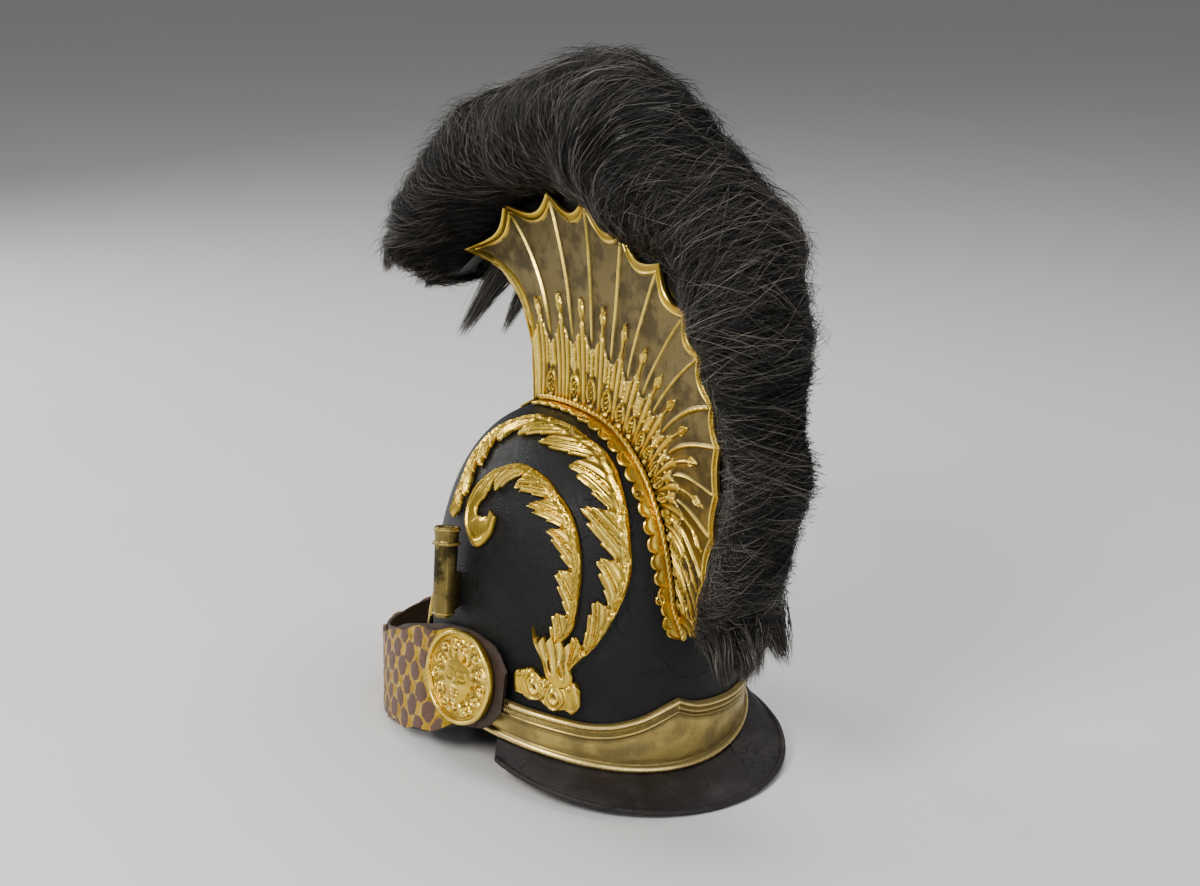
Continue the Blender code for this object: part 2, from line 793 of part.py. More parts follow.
def build_socket(brass):
    foot, head = Vector(SOCKET_FOOT), Vector(SOCKET_HEAD)
    axis = (head - foot).normalized()
    length = (head - foot).length
    across = axis.cross(Vector((0.0, 1.0, 0.0))).normalized()
    other = axis.cross(across)
    sides = 8
    profile = (
        # distance from foot, radius
        (0.0, SOCKET_FOOT_RADIUS - 1.6),
        (2.0, SOCKET_FOOT_RADIUS),
        (LUG_FROM, SOCKET_FOOT_RADIUS + 0.1),
        (LUG_FROM + 2.0, SOCKET_FOOT_RADIUS + 0.1),
        (LUG_TO - 2.0, SOCKET_FOOT_RADIUS + 0.4),
        (LUG_TO, SOCKET_FOOT_RADIUS + 0.4),
        (length - 12.0, SOCKET_HEAD_RADIUS - 1.0),
        (length - 10.5, SOCKET_HEAD_RADIUS),
        (length - 8.5, SOCKET_HEAD_RADIUS - 1.0),
        (length - 1.5, SOCKET_HEAD_RADIUS - 0.4),
        (length, SOCKET_HEAD_RADIUS),
        (length, SOCKET_BORE),
        (length - SOCKET_DEPTH, SOCKET_BORE - 1.6),
    )
    rings = []
    for number, (distance, radius) in enumerate(profile):
        ring = []
        for side in range(sides):
            angle = math.tau * (side + 0.5) / sides
            outward = across * math.cos(angle) + other * math.sin(angle)
            point = foot + axis * distance + outward * radius
            if outward.x < -0.9 and number in (3, 4):
                point.x = skull_side(point.y, point.z) + 0.5 * GAP
            ring.append(point)
        rings.append(ring)
    add_swept("plume_socket", rings, brass)


def strap_plan():
    """The strap's middle line from behind the left boss to the front, as side and forward."""
    plan = []
    for step in range(61):
        angle = math.radians(90.0 * step / 60)
        plan.append(Vector((
            STRAP_SIDE * math.cos(angle) ** (2.0 / STRAP_ROUND),
            STRAP_CENTRE + STRAP_REACH * math.sin(angle) ** (2.0 / STRAP_ROUND),
        )))
    lean = math.radians(BOSS_AZIMUTH - 90.0)
    behind = STRAP_WALL + SCALE_GAP + SCALE_WALL + GAP
    boss = Vector((BOSS_CENTRE[0] - behind, -BOSS_CENTRE[1]))
    run = Vector((math.sin(lean), math.cos(lean)))
    stretch = [boss - run * STRAP_TAIL, boss - run * STRAP_TAIL * 0.5, boss, boss + run * 16.0]
    return stretch + plan


def along_plan(plan, distance):
    """Point and direction at a distance from the boss's centre."""
    travelled = -STRAP_TAIL
    for before, after in zip(plan, plan[1:]):
        length = (after - before).length
        if travelled + length >= distance:
            amount = (distance - travelled) / length
            return before.lerp(after, amount), (after - before) / length
        travelled += length
    return plan[-1], Vector((-1.0, 0.0))


def plan_length(plan):
    return sum((after - before).length for before, after in zip(plan, plan[1:])) - STRAP_TAIL


def strap_section(plan, distance, rows, inner, outer, low, high, bumps=None):
    """Section ring of the strap: the outer face in rows, then the flat inner face."""
    spot, run = along_plan(plan, distance)
    out = Vector((run.y, -run.x))
    fade = (BOSS_RADIUS + STRAP_TURN - distance) / (STRAP_TURN - 3.0)
    lean = math.tan(math.radians(BOSS_TILT)) * max(0.0, min(1.0, fade))
    middle = BOSS_CENTRE[2]

    def place(depth, height):
        shift = depth - (height - middle) * lean
        return Vector((spot.x + out.x * shift, -(spot.y + out.y * shift), height))

    ring = []
    for row in range(rows + 1):
        height = blend(low, high, row / rows)
        bump = bumps[row] if bumps else 0.0
        ring.append(place(outer + bump, height))
    ring.append(place(inner, high))
    ring.append(place(inner, low))
    return ring


def build_strap(leather, brass):
    plan = strap_plan()
    half_length = plan_length(plan) - 1.0
    first = -STRAP_TAIL + 9.0
    count = round((half_length - first) / SCALE_PITCH)
    stops = [blend(first, half_length, number / count) for number in range(count + 1)]

    rings = []
    for distance in [-STRAP_TAIL, -STRAP_TAIL + 3.0] + stops:
        low, high = read_table(STRAP_EDGES, distance, 1), read_table(STRAP_EDGES, distance, 2)
        rings.append(strap_section(plan, distance, 3, 0.0, STRAP_WALL, low, high))
    mirrored = [[Vector((-point.x, point.y, point.z)) for point in ring] for ring in rings[::-1]]
    add_swept("strap_leather", rings + mirrored, leather, fan=True)

    rings = []
    inner = STRAP_WALL + SCALE_GAP
    outer = inner + SCALE_WALL
    for number, distance in enumerate(stops):
        low, high = read_table(STRAP_EDGES, distance, 1), read_table(STRAP_EDGES, distance, 2)
        if distance < 0.0:  # the scales end out of sight behind the boss
            behind_boss = math.sqrt((BOSS_RADIUS - 2.0) ** 2 - distance ** 2)
            low = max(low, BOSS_CENTRE[2] - behind_boss)
            high = min(high, BOSS_CENTRE[2] + behind_boss)
        wave = 0.6 if number % 2 else 3.0
        clear_of_boss = distance > BOSS_RADIUS + 4.0
        bumps = [SCALE_BUMP * ((row + number) % 2) * clear_of_boss for row in range(6)]
        rings.append(strap_section(plan, distance, 5, inner, outer, low + wave, high - wave, bumps))
    mirrored = [[Vector((-point.x, point.y, point.z)) for point in ring] for ring in rings[::-1]]
    add_swept("strap_scales", rings + mirrored, brass, fan=True)


def mask_relief(side, up):
    """Height of a calm, plain face with locks of hair round it, on the boss's field."""
    relief = 0.0
    face = 1.0 - (side / 11.0) ** 2 - ((up + 1.0) / 15.0) ** 2
    if face > 0.0:
        relief = 1.2 + 3.0 * math.sqrt(face)
        nose = max(0.0, 1.0 - (side / 2.6) ** 2) * max(0.0, 1.0 - ((up + 0.5) / 6.0) ** 2)
        brow = max(0.0, 1.0 - ((up - 5.0) / 1.8) ** 2)
        lips = max(0.0, 1.0 - (side / 4.0) ** 2) * max(0.0, 1.0 - ((up + 8.0) / 1.6) ** 2)
        relief += 1.6 * nose + 0.5 * brow + 0.7 * lips
    else:
        distance = math.hypot(side, up)
        around = math.atan2(side, up)
        lock = 1.5 + 1.1 * math.cos(MASK_LOCKS * around + distance / 3.0)
        relief = max(0.0, 1.0 - (distance - 15.0) / 12.0) * lock
    return relief


def build_bosses(brass):
    spokes = 26
    radii = (3.2, 6.6, 10.0, 13.4, 17.0, 21.0, 25.2)
    for side_name, mirror in (("left", 1.0), ("right", -1.0)):
        points, faces = [], []
        points.append(Vector((0.0, 0.0, BOSS_FIELD + mask_relief(0.0, 0.0))))
        for radius in radii:
            for spoke in range(spokes):
                angle = math.tau * spoke / spokes
                x, y = radius * math.sin(angle), radius * math.cos(angle)
                relief = mask_relief(x, y) if radius < radii[-1] else 0.0
                points.append(Vector((x, y, BOSS_FIELD + relief)))
        rim = (
            # radius, height
            (BOSS_RADIUS - 3.2, BOSS_RIM),
            (BOSS_RADIUS - 1.0, BOSS_RIM - 0.3),
            (BOSS_RADIUS, 2.2),
            (BOSS_RADIUS - 0.8, 0.0),
        )
        for radius, height in rim:
            for spoke in range(spokes):
                angle = math.tau * spoke / spokes
                points.append(Vector((radius * math.sin(angle), radius * math.cos(angle), height)))
        rings = (len(points) - 1) // spokes
        for spoke in range(spokes):
            near = (spoke + 1) % spokes
            faces.append((0, 1 + spoke, 1 + near))
            for ring in range(rings - 1):
                low, high = 1 + ring * spokes, 1 + (ring + 1) * spokes
                faces.append((low + spoke, high + spoke, high + near, low + near))
        faces.append(tuple(1 + (rings - 1) * spokes + spoke for spoke in range(spokes)))
        name = "boss_" + side_name
        boss = add_object(name, mesh_from(name, points, faces), brass, False)
        azimuth, tilt = math.radians(BOSS_AZIMUTH), math.radians(BOSS_TILT)
        facing = Vector((
            mirror * math.sin(azimuth) * math.cos(tilt),
            -math.cos(azimuth) * math.cos(tilt),
            math.sin(tilt),
        ))
        across = Vector((0.0, 0.0, 1.0)).cross(facing).normalized()
        upright = facing.cross(across)
        turned = Matrix((across, upright, facing)).transposed()
        boss.rotation_mode = "QUATERNION"
        boss.rotation_quaternion = turned.to_quaternion()
        centre = Vector((mirror * BOSS_CENTRE[0], BOSS_CENTRE[1], BOSS_CENTRE[2]))
        boss.location = centre * MILLIMETRE


def build_helmet():
    clear_scene()
    gilt = finish("gilt_brass", (0.80, 0.56, 0.16), 0.30, 1.0)
    worn_brass = finish("worn_brass", (0.42, 0.35, 0.18), 0.45, 1.0)
    black_leather = finish("black_leather", (0.025, 0.025, 0.028), 0.42, 0.0)
    guard_leather = finish("guard_leather", (0.075, 0.060, 0.062), 0.55, 0.0)
    brown_leather = finish("brown_leather", (0.070, 0.045, 0.035), 0.60, 0.0)
    fur = finish("black_fur", (0.020, 0.018, 0.017), 0.75, 0.0)
    build_skull(black_leather)
    build_band(worn_brass)
    build_front_plate(gilt)
    build_neck_guard(guard_leather, guard_leather)
    build_comb_plates(worn_brass)
    build_comb_foot(gilt, gilt)
    build_comb_front(gilt)
    build_crest(brown_leather, fur)
    build_acanthus(gilt)
    build_socket(worn_brass)
    build_strap(brown_leather, gilt)
    build_bosses(gilt)
    helmet = bpy.data.objects.new("helmet", None)
    bpy.context.scene.collection.objects.link(helmet)
    for item in bpy.data.objects:
        if item.type == "MESH":
            item.parent = helmet


build_helmet()
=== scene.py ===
import json
import math

import bpy
import numpy as np
from mathutils import Matrix, Vector

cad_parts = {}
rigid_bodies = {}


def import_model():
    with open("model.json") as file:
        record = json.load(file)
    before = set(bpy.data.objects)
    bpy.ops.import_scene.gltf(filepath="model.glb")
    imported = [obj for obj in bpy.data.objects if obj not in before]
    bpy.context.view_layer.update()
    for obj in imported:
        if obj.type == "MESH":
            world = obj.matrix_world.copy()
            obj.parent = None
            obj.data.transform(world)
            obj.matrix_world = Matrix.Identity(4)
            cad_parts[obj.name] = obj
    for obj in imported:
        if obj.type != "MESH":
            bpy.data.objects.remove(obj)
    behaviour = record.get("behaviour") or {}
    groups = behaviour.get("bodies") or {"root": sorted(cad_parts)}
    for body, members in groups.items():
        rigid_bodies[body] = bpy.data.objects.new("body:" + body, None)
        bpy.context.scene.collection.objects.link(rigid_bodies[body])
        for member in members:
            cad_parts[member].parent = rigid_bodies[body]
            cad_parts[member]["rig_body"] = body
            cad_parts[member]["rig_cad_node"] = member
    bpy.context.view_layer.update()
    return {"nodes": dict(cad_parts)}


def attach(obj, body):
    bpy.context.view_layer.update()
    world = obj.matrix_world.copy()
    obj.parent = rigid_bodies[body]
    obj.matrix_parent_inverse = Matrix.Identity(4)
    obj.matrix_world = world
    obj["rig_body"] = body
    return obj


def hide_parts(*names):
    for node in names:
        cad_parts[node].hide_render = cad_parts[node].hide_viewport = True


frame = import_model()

# Everything is worked out in millimetres and written into the meshes in metres.
# The wearer's left is +X, the front is -Y. A turn runs from the front towards the left.

mm = 0.001
nodes = frame["nodes"]
print("frame loaded:", len(nodes), "nodes")


# Working with objects

def pick(piece):
    if bpy.context.mode != "OBJECT":
        bpy.ops.object.mode_set(mode="OBJECT")
    bpy.ops.object.select_all(action="DESELECT")
    if piece is not None:
        piece.select_set(True)
        bpy.context.view_layer.objects.active = piece


def applyModifier(piece, kind, **settings):
    pick(piece)
    modifier = piece.modifiers.new(kind.title(), kind)
    for name, value in settings.items():
        setattr(modifier, name, value)
    bpy.ops.object.modifier_apply(modifier=modifier.name)


def editMesh(piece, *steps):  # each step is a mesh operator and its settings, run on the whole mesh
    pick(piece)
    bpy.ops.object.mode_set(mode="EDIT")
    for operator, settings in steps:
        bpy.ops.mesh.select_all(action="SELECT")
        operator(**settings)
    bpy.ops.object.mode_set(mode="OBJECT")


def mergeSeams(piece, distance=0.00001):
    editMesh(piece, (bpy.ops.mesh.remove_doubles, {"threshold": distance}))


def faceOutwards(piece):
    editMesh(piece, (bpy.ops.mesh.normals_make_consistent, {"inside": False}))


def shadeSmooth(piece, angle=40):
    pick(piece)
    bpy.ops.object.shade_smooth_by_angle(angle=math.radians(angle))


def selectBorder():
    bpy.ops.mesh.select_all(action="DESELECT")
    bpy.ops.mesh.select_non_manifold(extend=False, use_boundary=True, use_wire=False,
                                     use_multi_face=False, use_non_contiguous=False, use_verts=False)


def storeMask(piece, name, values):
    mask = piece.data.attributes.new(name, "FLOAT", "POINT")
    mask.data.foreach_set("value", np.ascontiguousarray(values, np.float32))


def fillMask(piece, name, value):
    storeMask(piece, name, np.full(len(piece.data.vertices), value))


def readPoints(piece):
    points = np.empty(len(piece.data.vertices) * 3)
    piece.data.vertices.foreach_get("co", points)
    return points.reshape(-1, 3)


def writePoints(piece, points):
    piece.data.vertices.foreach_set("co", (points * mm).ravel())


backRows = 3  # rows of a closed sheet that run along its back


def sheetRows(v, rows):  # place across a closed sheet, and whether it is on the sheet's back
    row = np.rint(v * rows)
    front = rows - backRows - 2
    across = np.where(row <= front, row / front, np.clip(1 - (row - front - 1) / backRows, 0, 1))
    return across, (row > front) & (row < rows)


def gridPiece(name, columns, rows, shape, wrap=False, closed=False, sign=1):  # sign -1 mirrors it
    pick(None)
    bpy.ops.mesh.primitive_grid_add(x_subdivisions=columns, y_subdivisions=rows, size=2)
    piece = bpy.context.object
    piece.name = name
    piece.data.name = name
    u, v = ((readPoints(piece) + 1) / 2)[:, :2].T
    points, masks = shape(u, *sheetRows(v, rows)) if closed else shape(u, v)
    writePoints(piece, points * (sign, 1, 1))
    for mask, values in masks.items():
        storeMask(piece, mask, values)
    piece.data.update()
    if wrap or closed:
        mergeSeams(piece)
    if closed:
        editMesh(piece, (bpy.ops.mesh.fill_holes, {"sides": 0}))
    if wrap or closed:
        faceOutwards(piece)
    shadeSmooth(piece, 50)
    return piece


def fineCopy(name, node, bevel, segments=2):  # a node's own shape, with softened edges
    piece = nodes[node].copy()
    piece.data = nodes[node].data.copy()
    piece.name = name
    piece.parent = None
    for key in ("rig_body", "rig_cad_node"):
        if key in piece:
            del piece[key]
    bpy.context.scene.collection.objects.link(piece)
    mergeSeams(piece, 0.00002)
    editMesh(piece, (bpy.ops.mesh.tris_convert_to_quads, {}))
    applyModifier(piece, "BEVEL", width=bevel * mm, segments=segments, limit_method="ANGLE",
                  angle_limit=math.radians(28))
    shadeSmooth(piece, 35)
    return piece


def dress(piece, material, slotName, *replaced):
    piece.data.materials.clear()
    piece.data.materials.append(material)
    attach(piece, "root")
    if replaced:
        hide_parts(*replaced)


# Curves and places on the skull, for arrays of positions

def stackPoints(x, y, z):
    return np.stack(np.broadcast_arrays(x, y, z), axis=-1)


def between(start, end, share):
    return start + (end - start) * share


def smoothStep(low, high, value):
    amount = np.clip((value - low) / (high - low), 0, 1)
    return amount * amount * (3 - 2 * amount)


def bump(distance, width):
    return np.exp(-(distance / width) ** 2)


def dome(distance):
    return np.sqrt(np.clip(1 - distance ** 2, 0, 1))


def taper(u, steep):  # closes a roll at both its ends
    return np.sqrt(np.clip(np.minimum(u, 1 - u) * steep, 0.02, 1))


def unit(vectors):
    return vectors / np.maximum(np.linalg.norm(vectors, axis=-1, keepdims=True), 1e-9)


def direction(azimuth, elevation):
    azimuth, elevation = math.radians(azimuth), math.radians(elevation)
    level = math.cos(elevation)
    return math.sin(azimuth) * level, -math.cos(azimuth) * level, math.sin(elevation)


def smoothBetween(before, here, there, after, t):
    return 0.5 * (2 * here + (there - before) * t + (2 * before - 5 * here + 4 * there - after) * t ** 2
                  + (3 * here - before - 3 * there + after) * t ** 3)


def throughRows(table, position):  # a smooth curve through evenly spaced rows
    table = np.asarray(table, float)
    last = len(table) - 1
    index = np.clip(np.floor(position).astype(int), 0, last - 1)
    return smoothBetween(table[np.maximum(index - 1, 0)], table[index], table[index + 1],
                         table[np.minimum(index + 2, last)], (position - index)[..., None])


def readTable(table, position):  # one array, or one for each column after the first
    first, *columns = np.array(table, float).T
    values = [np.interp(position, first, column) for column in columns]
    return values if len(values) > 1 else values[0]


def readSoftly(table, places):  # the mean of the table at several places, which rounds its corners
    return np.mean([readTable(table, place) for place in places], axis=0)


def linearRows(table, position):
    table = np.asarray(table, float)
    index = np.clip(np.floor(position).astype(int), 0, len(table) - 2)
    t = (position - index)[..., None]
    return table[index] * (1 - t) + table[index + 1] * t


skull = {
    "length": 113.2,  # half, outside
    "width": 99.2,  # half, outside
    "height": 187.5,  # from the spring line to the crown
    "power": 2.78,
    "spring": 34.0,  # spring line above the floor
    "wall": 3.0,
    "gap": 0.35,
    "rim": (6.5, 14.0),  # how the rim falls towards the back
}


def pushOut(points, offset):
    x, y, z = points[..., 0], points[..., 1], points[..., 2]
    across = np.hypot(x / skull["width"], y / skull["length"])
    up = np.maximum(z - skull["spring"], 0) / skull["height"]
    steep = np.maximum(across, 1e-6) ** (skull["power"] - 2)
    normal = stackPoints(steep * x / skull["width"] ** 2, steep * y / skull["length"] ** 2,
                         up ** (skull["power"] - 1) / skull["height"])
    return points + unit(normal) * np.asarray(offset)[..., None]


def atHeight(turn, height, offset=0.0):
    angle = np.radians(turn)
    up = np.clip(height / skull["height"], 0, 1)
    across = (1 - up ** skull["power"]) ** (1 / skull["power"])
    points = stackPoints(skull["width"] * across * np.sin(angle), -skull["length"] * across * np.cos(angle),
                         skull["spring"] + height)
    return pushOut(points, offset)


def atRise(turn, rise, offset=0.0):
    level, up = np.cos(np.radians(rise)), np.sin(np.radians(rise))
    size = (np.abs(level) ** skull["power"] + np.abs(up) ** skull["power"]) ** (1 / skull["power"])
    angle = np.radians(turn)
    points = stackPoints(skull["width"] * level / size * np.sin(angle),
                         -skull["length"] * level / size * np.cos(angle),
                         skull["spring"] + skull["height"] * up / size)
    return pushOut(points, offset)


def overTop(angle, side, offset=0.0):  # a plain angle in the middle plane, and mm to the side
    angle = np.radians(angle)
    turned = np.arctan2(np.sin(angle) / skull["height"], np.cos(angle) / skull["length"])
    forward, up = np.cos(turned), np.sin(turned)
    size = 1.0
    for _ in range(4):
        across = np.hypot(side * size / skull["width"], forward)
        size = (across ** skull["power"] + np.abs(up) ** skull["power"]) ** (1 / skull["power"])
    points = stackPoints(side + 0 * size, -forward * skull["length"] / size,
                         skull["spring"] + up * skull["height"] / size)
    return pushOut(points, offset)


def rimHeight(turn):
    back = -np.cos(np.radians(turn))
    return -(skull["rim"][0] * back + skull["rim"][1] * back * back)


def noise(points, scale, seed=0.0):  # cheap smooth noise from sines, about -1 to 1
    x, y, z = (points[..., axis] / scale + seed for axis in range(3))
    return (np.sin(x * 1.7 + 1.3 * np.sin(y * 1.1 + z * 0.7))
            + np.sin(y * 1.9 + 1.1 * np.sin(z * 1.3 - x * 0.6))
            + np.sin(z * 2.1 + 1.2 * np.sin(x * 0.9 + y * 1.4))) / 3


# Effects that several materials share

def feed(tree, socket, value):  # a link, or the socket's own value
    if isinstance(value, bpy.types.NodeSocket):
        tree.links.new(value, socket)
    elif socket.type == "RGBA":
        socket.default_value = (*value, 1)
    else:
        socket.default_value = value


def feedAll(tree, node, values):
    for name, value in values.items():
        feed(tree, node.inputs[name], value)


def addNode(tree, kind, values=None, **settings):
    node = tree.nodes.new(kind)
    for name, value in settings.items():
        setattr(node, name, value)
    feedAll(tree, node, values or {})
    return node


def mixColours(tree, factor, first, second):
    return addNode(tree, "ShaderNodeMix", {0: factor, 6: first, 7: second}, data_type="RGBA").outputs[2]


def doMath(tree, operation, first, second=0.5, clamp=False):
    values = {0: first, 1: second}
    return addNode(tree, "ShaderNodeMath", values, operation=operation, use_clamp=clamp).outputs[0]


def add(tree, first, second, clamp=False):
    return doMath(tree, "ADD", first, second, clamp)


def subtract(tree, first, second):
    return doMath(tree, "SUBTRACT", first, second)


def multiply(tree, first, second):
    return doMath(tree, "MULTIPLY", first, second)


def ramp(tree, value, low, high, start=0.0, end=1.0):
    values = {"Value": value, "From Min": low, "From Max": high, "To Min": start, "To Max": end}
    return addNode(tree, "ShaderNodeMapRange", values, interpolation_type="SMOOTHSTEP").outputs["Result"]


def noiseNode(tree, where, scale, detail=4.0, rough=0.55, output="Fac"):
    values = {"Vector": where, "Scale": scale, "Detail": detail, "Roughness": rough}
    return addNode(tree, "ShaderNodeTexNoise", values).outputs[output]


def edgeNode(tree, where, scale):  # distance to the edges of irregular cells
    values = {"Vector": where, "Scale": scale}
    return addNode(tree, "ShaderNodeTexVoronoi", values, feature="DISTANCE_TO_EDGE").outputs["Distance"]


def newGroup(name, inputs, outputs):
    tree = bpy.data.node_groups.new(name, "ShaderNodeTree")
    tree.interface.new_socket("Vector", in_out="INPUT", socket_type="NodeSocketVector")
    for label, value in inputs.items():
        tree.interface.new_socket(label, in_out="INPUT", socket_type="NodeSocketFloat").default_value = value
    for label in outputs:
        tree.interface.new_socket(label, in_out="OUTPUT", socket_type="NodeSocketFloat")
    return tree, addNode(tree, "NodeGroupInput").outputs, addNode(tree, "NodeGroupOutput")


def makeMetalAgeing():
    tree, given, result = newGroup("metalAgeing", {"Relief": 0.5, "Patch Scale": 40.0, "Dirt": 0.5},
                                   ("Tarnish", "Dirt", "Rubbed", "Height"))
    where, relief = given["Vector"], given["Relief"]
    patches = noiseNode(tree, where, given["Patch Scale"], 6.0, 0.62)
    fine = noiseNode(tree, where, 520.0, 3.0)
    specks = noiseNode(tree, where, 1400.0, 2.0)
    hollow = ramp(tree, relief, 0.0, 0.45, 1.0, 0.0)
    dirt = multiply(tree, multiply(tree, hollow, given["Dirt"]), ramp(tree, fine, 0.3, 0.62, 0.45, 1.0))
    feedAll(tree, result, {
        "Tarnish": ramp(tree, patches, 0.42, 0.62),
        "Dirt": add(tree, dirt, ramp(tree, specks, 0.62, 0.72, 0.0, 0.5), clamp=True),
        "Rubbed": multiply(tree, ramp(tree, relief, 0.55, 0.95), ramp(tree, fine, 0.28, 0.6, 0.5, 1.0)),
        "Height": add(tree, multiply(tree, fine, 0.6), multiply(tree, specks, 0.4)),
    })
    return tree


def makeLeatherGrain():
    tree, given, result = newGroup("leatherGrain", {"Grain Scale": 900.0, "Crack Scale": 60.0},
                                   ("Height", "Cracks", "Wear"))
    where = given["Vector"]
    cells = edgeNode(tree, where, given["Grain Scale"])
    shift = noiseNode(tree, where, 45.0, 5.0, 0.5, "Color")
    small = addNode(tree, "ShaderNodeVectorMath", {0: shift, "Scale": 0.03}, operation="SCALE")
    warp = addNode(tree, "ShaderNodeVectorMath", {0: where, 1: small.outputs[0]}, operation="ADD")
    lines = edgeNode(tree, warp.outputs[0], given["Crack Scale"])
    here = ramp(tree, noiseNode(tree, where, 22.0, 3.0), 0.5, 0.62)
    cracks = multiply(tree, ramp(tree, lines, 0.0, 0.035, 1.0, 0.0), here)
    rough = noiseNode(tree, where, 140.0, 6.0, 0.65)
    height = add(tree, multiply(tree, ramp(tree, cells, 0.0, 0.25), 0.35), multiply(tree, rough, 0.9))
    feedAll(tree, result, {
        "Height": subtract(tree, height, multiply(tree, cracks, 0.9)),
        "Cracks": cracks,
        "Wear": ramp(tree, noiseNode(tree, where, 34.0, 8.0, 0.7), 0.45, 0.7),
    })
    return tree


metalAgeing = makeMetalAgeing()
leatherGrain = makeLeatherGrain()


def newMaterial(name, roughness, metallic):
    material = bpy.data.materials.new(name)
    material.use_nodes = True
    tree = material.node_tree
    shader = tree.nodes["Principled BSDF"]
    feedAll(tree, shader, {"Roughness": roughness, "Metallic": metallic})
    where = addNode(tree, "ShaderNodeTexCoord")
    return material, tree, shader, where.outputs["Object"]


def readMask(tree, name):
    return addNode(tree, "ShaderNodeAttribute", attribute_name=name).outputs["Fac"]


def bumpNode(tree, height, distance):
    values = {"Height": height, "Distance": distance, "Strength": 1.0}
    return addNode(tree, "ShaderNodeBump", values).outputs["Normal"]


def useGroup(tree, group, values):
    return addNode(tree, "ShaderNodeGroup", values, node_tree=group).outputs


def useAgeing(tree, where, look):
    return useGroup(tree, metalAgeing, {"Vector": where, "Relief": readMask(tree, "relief"),
                                        "Patch Scale": look["patch"], "Dirt": look["dirt"]})


def brassMaterial(name, look):
    material, tree, shader, where = newMaterial(name, look["rough"], 1.0)
    ageing = useAgeing(tree, where, look)
    tarnish, dirt, height = ageing["Tarnish"], ageing["Dirt"], ageing["Height"]
    colour = mixColours(tree, tarnish, look["clean"], look["dull"])
    if look.get("masked"):
        bare = mixColours(tree, tarnish, look["bare"], look["bareDull"])
        colour = mixColours(tree, readMask(tree, "gilt"), bare, colour)
    colour = mixColours(tree, ageing["Rubbed"], colour, look["bright"])
    if look.get("hatches"):
        sheet = addNode(tree, "ShaderNodeTexCoord").outputs["UV"]
        split = addNode(tree, "ShaderNodeSeparateXYZ", {0: sheet}).outputs
        slant = add(tree, multiply(tree, split["X"], look["hatches"] * math.tau),
                    multiply(tree, split["Y"], 60.0))
        lines = multiply(tree, doMath(tree, "SINE", slant), readMask(tree, "hatch"))
        height = add(tree, height, multiply(tree, lines, 3.0))
    feedAll(tree, shader, {
        "Base Color": mixColours(tree, dirt, colour, look["soot"]),
        "Roughness": add(tree, ramp(tree, tarnish, 0.0, 1.0, look["rough"], look["rough"] + 0.14),
                         ramp(tree, dirt, 0.0, 1.0, 0.0, 0.3)),
        "Metallic": ramp(tree, dirt, 0.2, 1.0, 1.0, 0.35),
        "Normal": bumpNode(tree, height, look["bump"]),
    })
    return material


giltBrass = brassMaterial("giltBrass", {
    "clean": (0.73, 0.48, 0.050), "dull": (0.46, 0.31, 0.050), "bright": (1.0, 0.75, 0.17),
    "soot": (0.036, 0.024, 0.007),
    "rough": 0.27, "patch": 46.0, "dirt": 0.95, "bump": 0.00010,
})
combBrass = brassMaterial("combBrass", {
    "clean": (0.59, 0.375, 0.024), "dull": (0.42, 0.27, 0.035), "bright": (1.0, 0.74, 0.15),
    "soot": (0.020, 0.012, 0.004),
    "bare": (0.205, 0.155, 0.058), "bareDull": (0.105, 0.080, 0.036), "masked": True, "hatches": 330,
    "rough": 0.30, "patch": 55.0, "dirt": 1.0, "bump": 0.00010,
})
bandBrass = brassMaterial("bandBrass", {
    "clean": (0.46, 0.34, 0.105), "dull": (0.27, 0.205, 0.075), "bright": (0.85, 0.64, 0.24),
    "soot": (0.05, 0.037, 0.014),
    "rough": 0.33, "patch": 36.0, "dirt": 0.8, "bump": 0.00012, "hatches": 420,
})
darkBrass = brassMaterial("darkBrass", {
    "clean": (0.24, 0.18, 0.055), "dull": (0.035, 0.028, 0.014), "bright": (0.55, 0.40, 0.12),
    "soot": (0.02, 0.016, 0.009),
    "rough": 0.38, "patch": 60.0, "dirt": 0.9, "bump": 0.00014,
})


def leatherMaterial(name, look):
    material, tree, shader, where = newMaterial(name, look["rough"], 0.0)
    grain = useGroup(tree, leatherGrain, {"Vector": where, "Grain Scale": look["grain"],
                                          "Crack Scale": look["crack"]})
    colour = mixColours(tree, grain["Wear"], look["colour"], look["worn"])
    feedAll(tree, shader, {
        "Base Color": mixColours(tree, grain["Cracks"], colour, look["deep"]),
        "Roughness": ramp(tree, grain["Wear"], 0.0, 1.0, look["rough"], look["rough"] + look["spread"]),
        "Normal": bumpNode(tree, grain["Height"], look["bump"]),
        "Specular IOR Level": look["shine"], "Coat Weight": look["coat"], "Coat Roughness": 0.3,
    })
    return material


blackLeather = leatherMaterial("blackLeather", {
    "colour": (0.0040, 0.0042, 0.0048), "worn": (0.009, 0.009, 0.0095),
    "deep": (0.0015, 0.0015, 0.0015), "rough": 0.46, "spread": 0.16,
    "grain": 700.0, "crack": 55.0, "bump": 0.00030, "coat": 0.02, "shine": 0.20,
})
guardLeather = leatherMaterial("guardLeather", {
    "colour": (0.013, 0.0105, 0.0112), "worn": (0.034, 0.028, 0.028),
    "deep": (0.004, 0.0035, 0.0035), "rough": 0.50, "spread": 0.15,
    "grain": 820.0, "crack": 75.0, "bump": 0.00035, "coat": 0.0, "shine": 0.26,
})
brownLeather = leatherMaterial("brownLeather", {
    "colour": (0.030, 0.019, 0.014), "worn": (0.055, 0.034, 0.024),
    "deep": (0.008, 0.005, 0.004), "rough": 0.55, "spread": 0.15,
    "grain": 760.0, "crack": 90.0, "bump": 0.0004, "coat": 0.0, "shine": 0.3,
})


